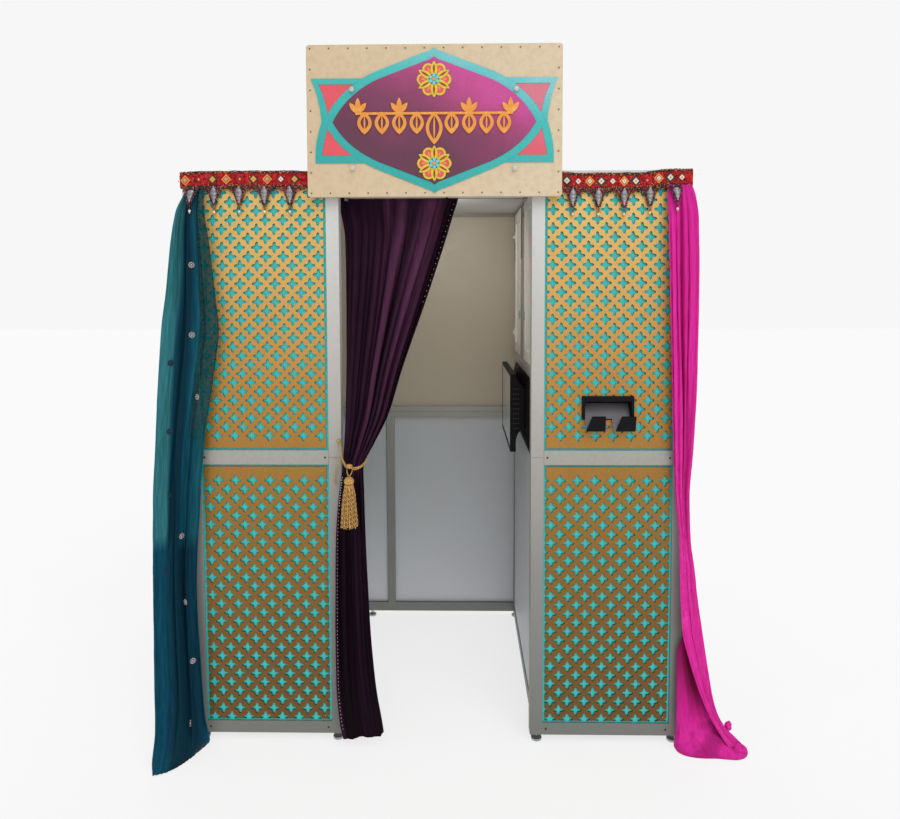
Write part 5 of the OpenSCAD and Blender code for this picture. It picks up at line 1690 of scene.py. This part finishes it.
def pearl_string(build, x, top):
    """A short string of beads that ends in a pearl and a gold tip."""
    fine = ball(1.5, 6, 4)
    drop = 56
    for mat, r in ((MAROON, 2.2), (THREAD_BLACK, 2.2), (PINK, 1.8), (GREEN, 2.2), (THREAD_BLACK, 2.0),
                   (MAROON, 2.2)):
        y = drop_depth(x, drop)
        build.put(ball(r, 8, 5), mat, (x, y, top - drop - r))
        for flank in (-1, 1):
            build.put(fine, random.choice(NETTING),
                      (x + flank * random.uniform(3.5, 6.5), y + 1, top - drop - r))
        drop += 2 * r
    y = drop_depth(x, drop)
    tip = lathe([(0, 2.4), (2.8, 1.6), (3.4, -0.6), (2.2, -2.6), (0, -3.2)], 12)
    build.put(ball(4.2, 14, 9, 1.15), PEARL, (x, y, top - drop - 4.6))
    build.put(tip, GOLD_BEAD, (x, y, top - drop - 11))


def scallops(build, columns, line):
    """Short bead strings between the drops, longest beside each drop."""
    tiny = ball(1.9, 6, 4)
    for side in (-1, 1):
        x = 437.0
        while x < 866:
            place = min(abs(side * x - c) for c in columns) / (DROP_STEP / 2)
            depth = lerp(32, 12, clamp(place) ** 0.7) + random.uniform(-4, 3)
            drop = 1.5
            while drop < depth:
                shade = random.choice(NETTING + (GOLD_BEAD,))
                spot = (side * x + random.uniform(-0.8, 0.8), -7 + random.uniform(-0.6, 0.4),
                        line + trim_sag(side * x) - drop)
                build.put(tiny, shade, spot)
                drop += 3.4
            x += 3.7


def bead_drops():
    """Silver spindles with netting at their sides, each ending in a pearl, and scallops between."""
    low, high = local_box("bead_drops")
    line = local_box("mirror_trim")[0].z + 1
    build = Build()
    random.seed(9)
    columns = [low.x + 10 + DROP_STEP * k + (18 if k == 0 else 0) for k in range(5)]
    columns += [high.x - 15 - DROP_STEP * k - (6 if k == 0 else 0) for k in range(5)]
    for x in columns:
        top = line + trim_sag(x)
        spindle(build, x, top)
        side_netting(build, x, top)
        pearl_string(build, x, top)
    scallops(build, columns, line)
    build.piece("bead_fringe", "booth", True, ["bead_drops"])


bead_drops()


# ---------- bench cushion ----------

def cushion():
    """A crowned pad with seams across it and piping along its two edges."""
    low, high = local_box("bench_cushion")
    build = Build()
    size, middle = (high - low) / 2, (high + low) / 2
    cells = 40
    grid = [2 * k / cells - 1 for k in range(cells + 1)]
    top, under = [], []
    for b in grid:
        for a in grid:
            crown = (1 - abs(a) ** 5) * (1 - abs(b) ** 5)
            pull = 1 - 0.018 * (1 - a ** 2) * abs(b) ** 6 - 0.02 * (1 - b ** 2) * abs(a) ** 6
            seam = 0.16 * math.exp(-((b * 3.0) % 1.0 - 0.5) ** 2 / 0.0016)
            x, y = a * size.x * pull, b * size.y * pull
            top.append((x, y, size.z * (0.25 + 0.75 * crown ** 0.45 - seam * crown)))
            under.append((x, y, -size.z * (0.55 if 1.0 in (abs(a), abs(b)) else 1.0)))
    faces = [tuple(reversed(face)) for face in pad_faces(cells + 1, cells + 1)]
    build.put((top + under, faces), LEATHER, middle)
    rim = grid_rim(cells + 1, cells + 1)
    for height in (0.25, -0.55):
        loop = [Vector((top[k][0] * 1.004, top[k][1] * 1.002, size.z * height)) + middle for k in rim]
        build.put(tube(loop + loop[:1], 2.2, 6), LEATHER)
    build.piece("seat_pad", "bench_seat", True, ["bench_cushion"])


cushion()


# ---------- floor, light and camera ----------

def floor():
    look = Look("floor", 0.9)
    look.set("Base Color", look.mix(look.noise(2, 3), rgb(138, 138, 138), rgb(142, 142, 142)))
    look.set("Specular IOR Level", 0.0)
    look.set("Emission Color", rgb(255, 255, 255))
    look.set("Emission Strength", 0.715)
    mesh = bpy.data.meshes.new("floor")
    reach = 30
    corners = [(-reach, -reach, 0), (reach, -reach, 0), (reach, reach, 0), (-reach, reach, 0)]
    mesh.from_pydata(corners, [], [(0, 1, 2, 3)])
    mesh.materials.append(look.mat)
    show("floor", mesh)


def light(name, kind, power, towards, **settings):
    data = bpy.data.lights.new(name, kind)
    data.energy = power
    for key, value in settings.items():
        setattr(data, key, value)
    obj = show(name, data)
    obj.rotation_euler = towards.to_track_quat("-Z", "Y").to_euler()
    return obj


def studio():
    """A pale world, a little brighter to the camera than as a light, with a soft key light."""
    as_light, as_seen = 0.66, 0.93
    scene = bpy.context.scene
    scene.view_settings.view_transform = "Standard"
    scene.world = bpy.data.worlds.new("studio")
    scene.world.use_nodes = True
    tree = scene.world.node_tree
    back = tree.nodes["Background"]
    back.inputs["Color"].default_value = (1, 1, 1, 1)
    path = tree.nodes.new("ShaderNodeLightPath")
    strength = tree.nodes.new("ShaderNodeMapRange")
    strength.inputs["To Min"].default_value = as_light
    strength.inputs["To Max"].default_value = as_seen
    tree.links.new(path.outputs["Is Camera Ray"], strength.inputs["Value"])
    tree.links.new(strength.outputs[0], back.inputs["Strength"])
    light("key", "SUN", 1.15, Vector((-0.35, 1.0, -1.05)), angle=math.radians(50))
    ceiling, back_wall = at(-20, 330, 1890), at(-20, 900, 1500)
    inside = light("inside", "AREA", 1.5, back_wall - ceiling, shape="DISK", size=0.25)
    inside.location = ceiling


def camera():
    """Stands a little right of the middle at eye height, turned slightly left and down."""
    yaw, pitch, roll = 0.0165, 0.0577, -0.0025
    forward = Vector((-math.sin(yaw) * math.cos(pitch), math.cos(yaw) * math.cos(pitch), -math.sin(pitch)))
    right = Vector((math.cos(yaw), math.sin(yaw), 0))
    up = right.cross(forward)
    c, s = math.cos(roll), math.sin(roll)
    right, up = c * right + s * up, -s * right + c * up
    data = bpy.data.cameras.new("camera_view")
    data.sensor_width = 36
    data.lens = 27.28
    data.shift_y = -0.0822
    obj = show("camera_view", data)
    matrix = Matrix((right, up, -forward)).transposed().to_4x4()
    matrix.translation = at(88.9, -2350.9, 1592.5)
    obj.matrix_world = matrix
    bpy.context.scene.camera = obj


floor()
studio()
camera()
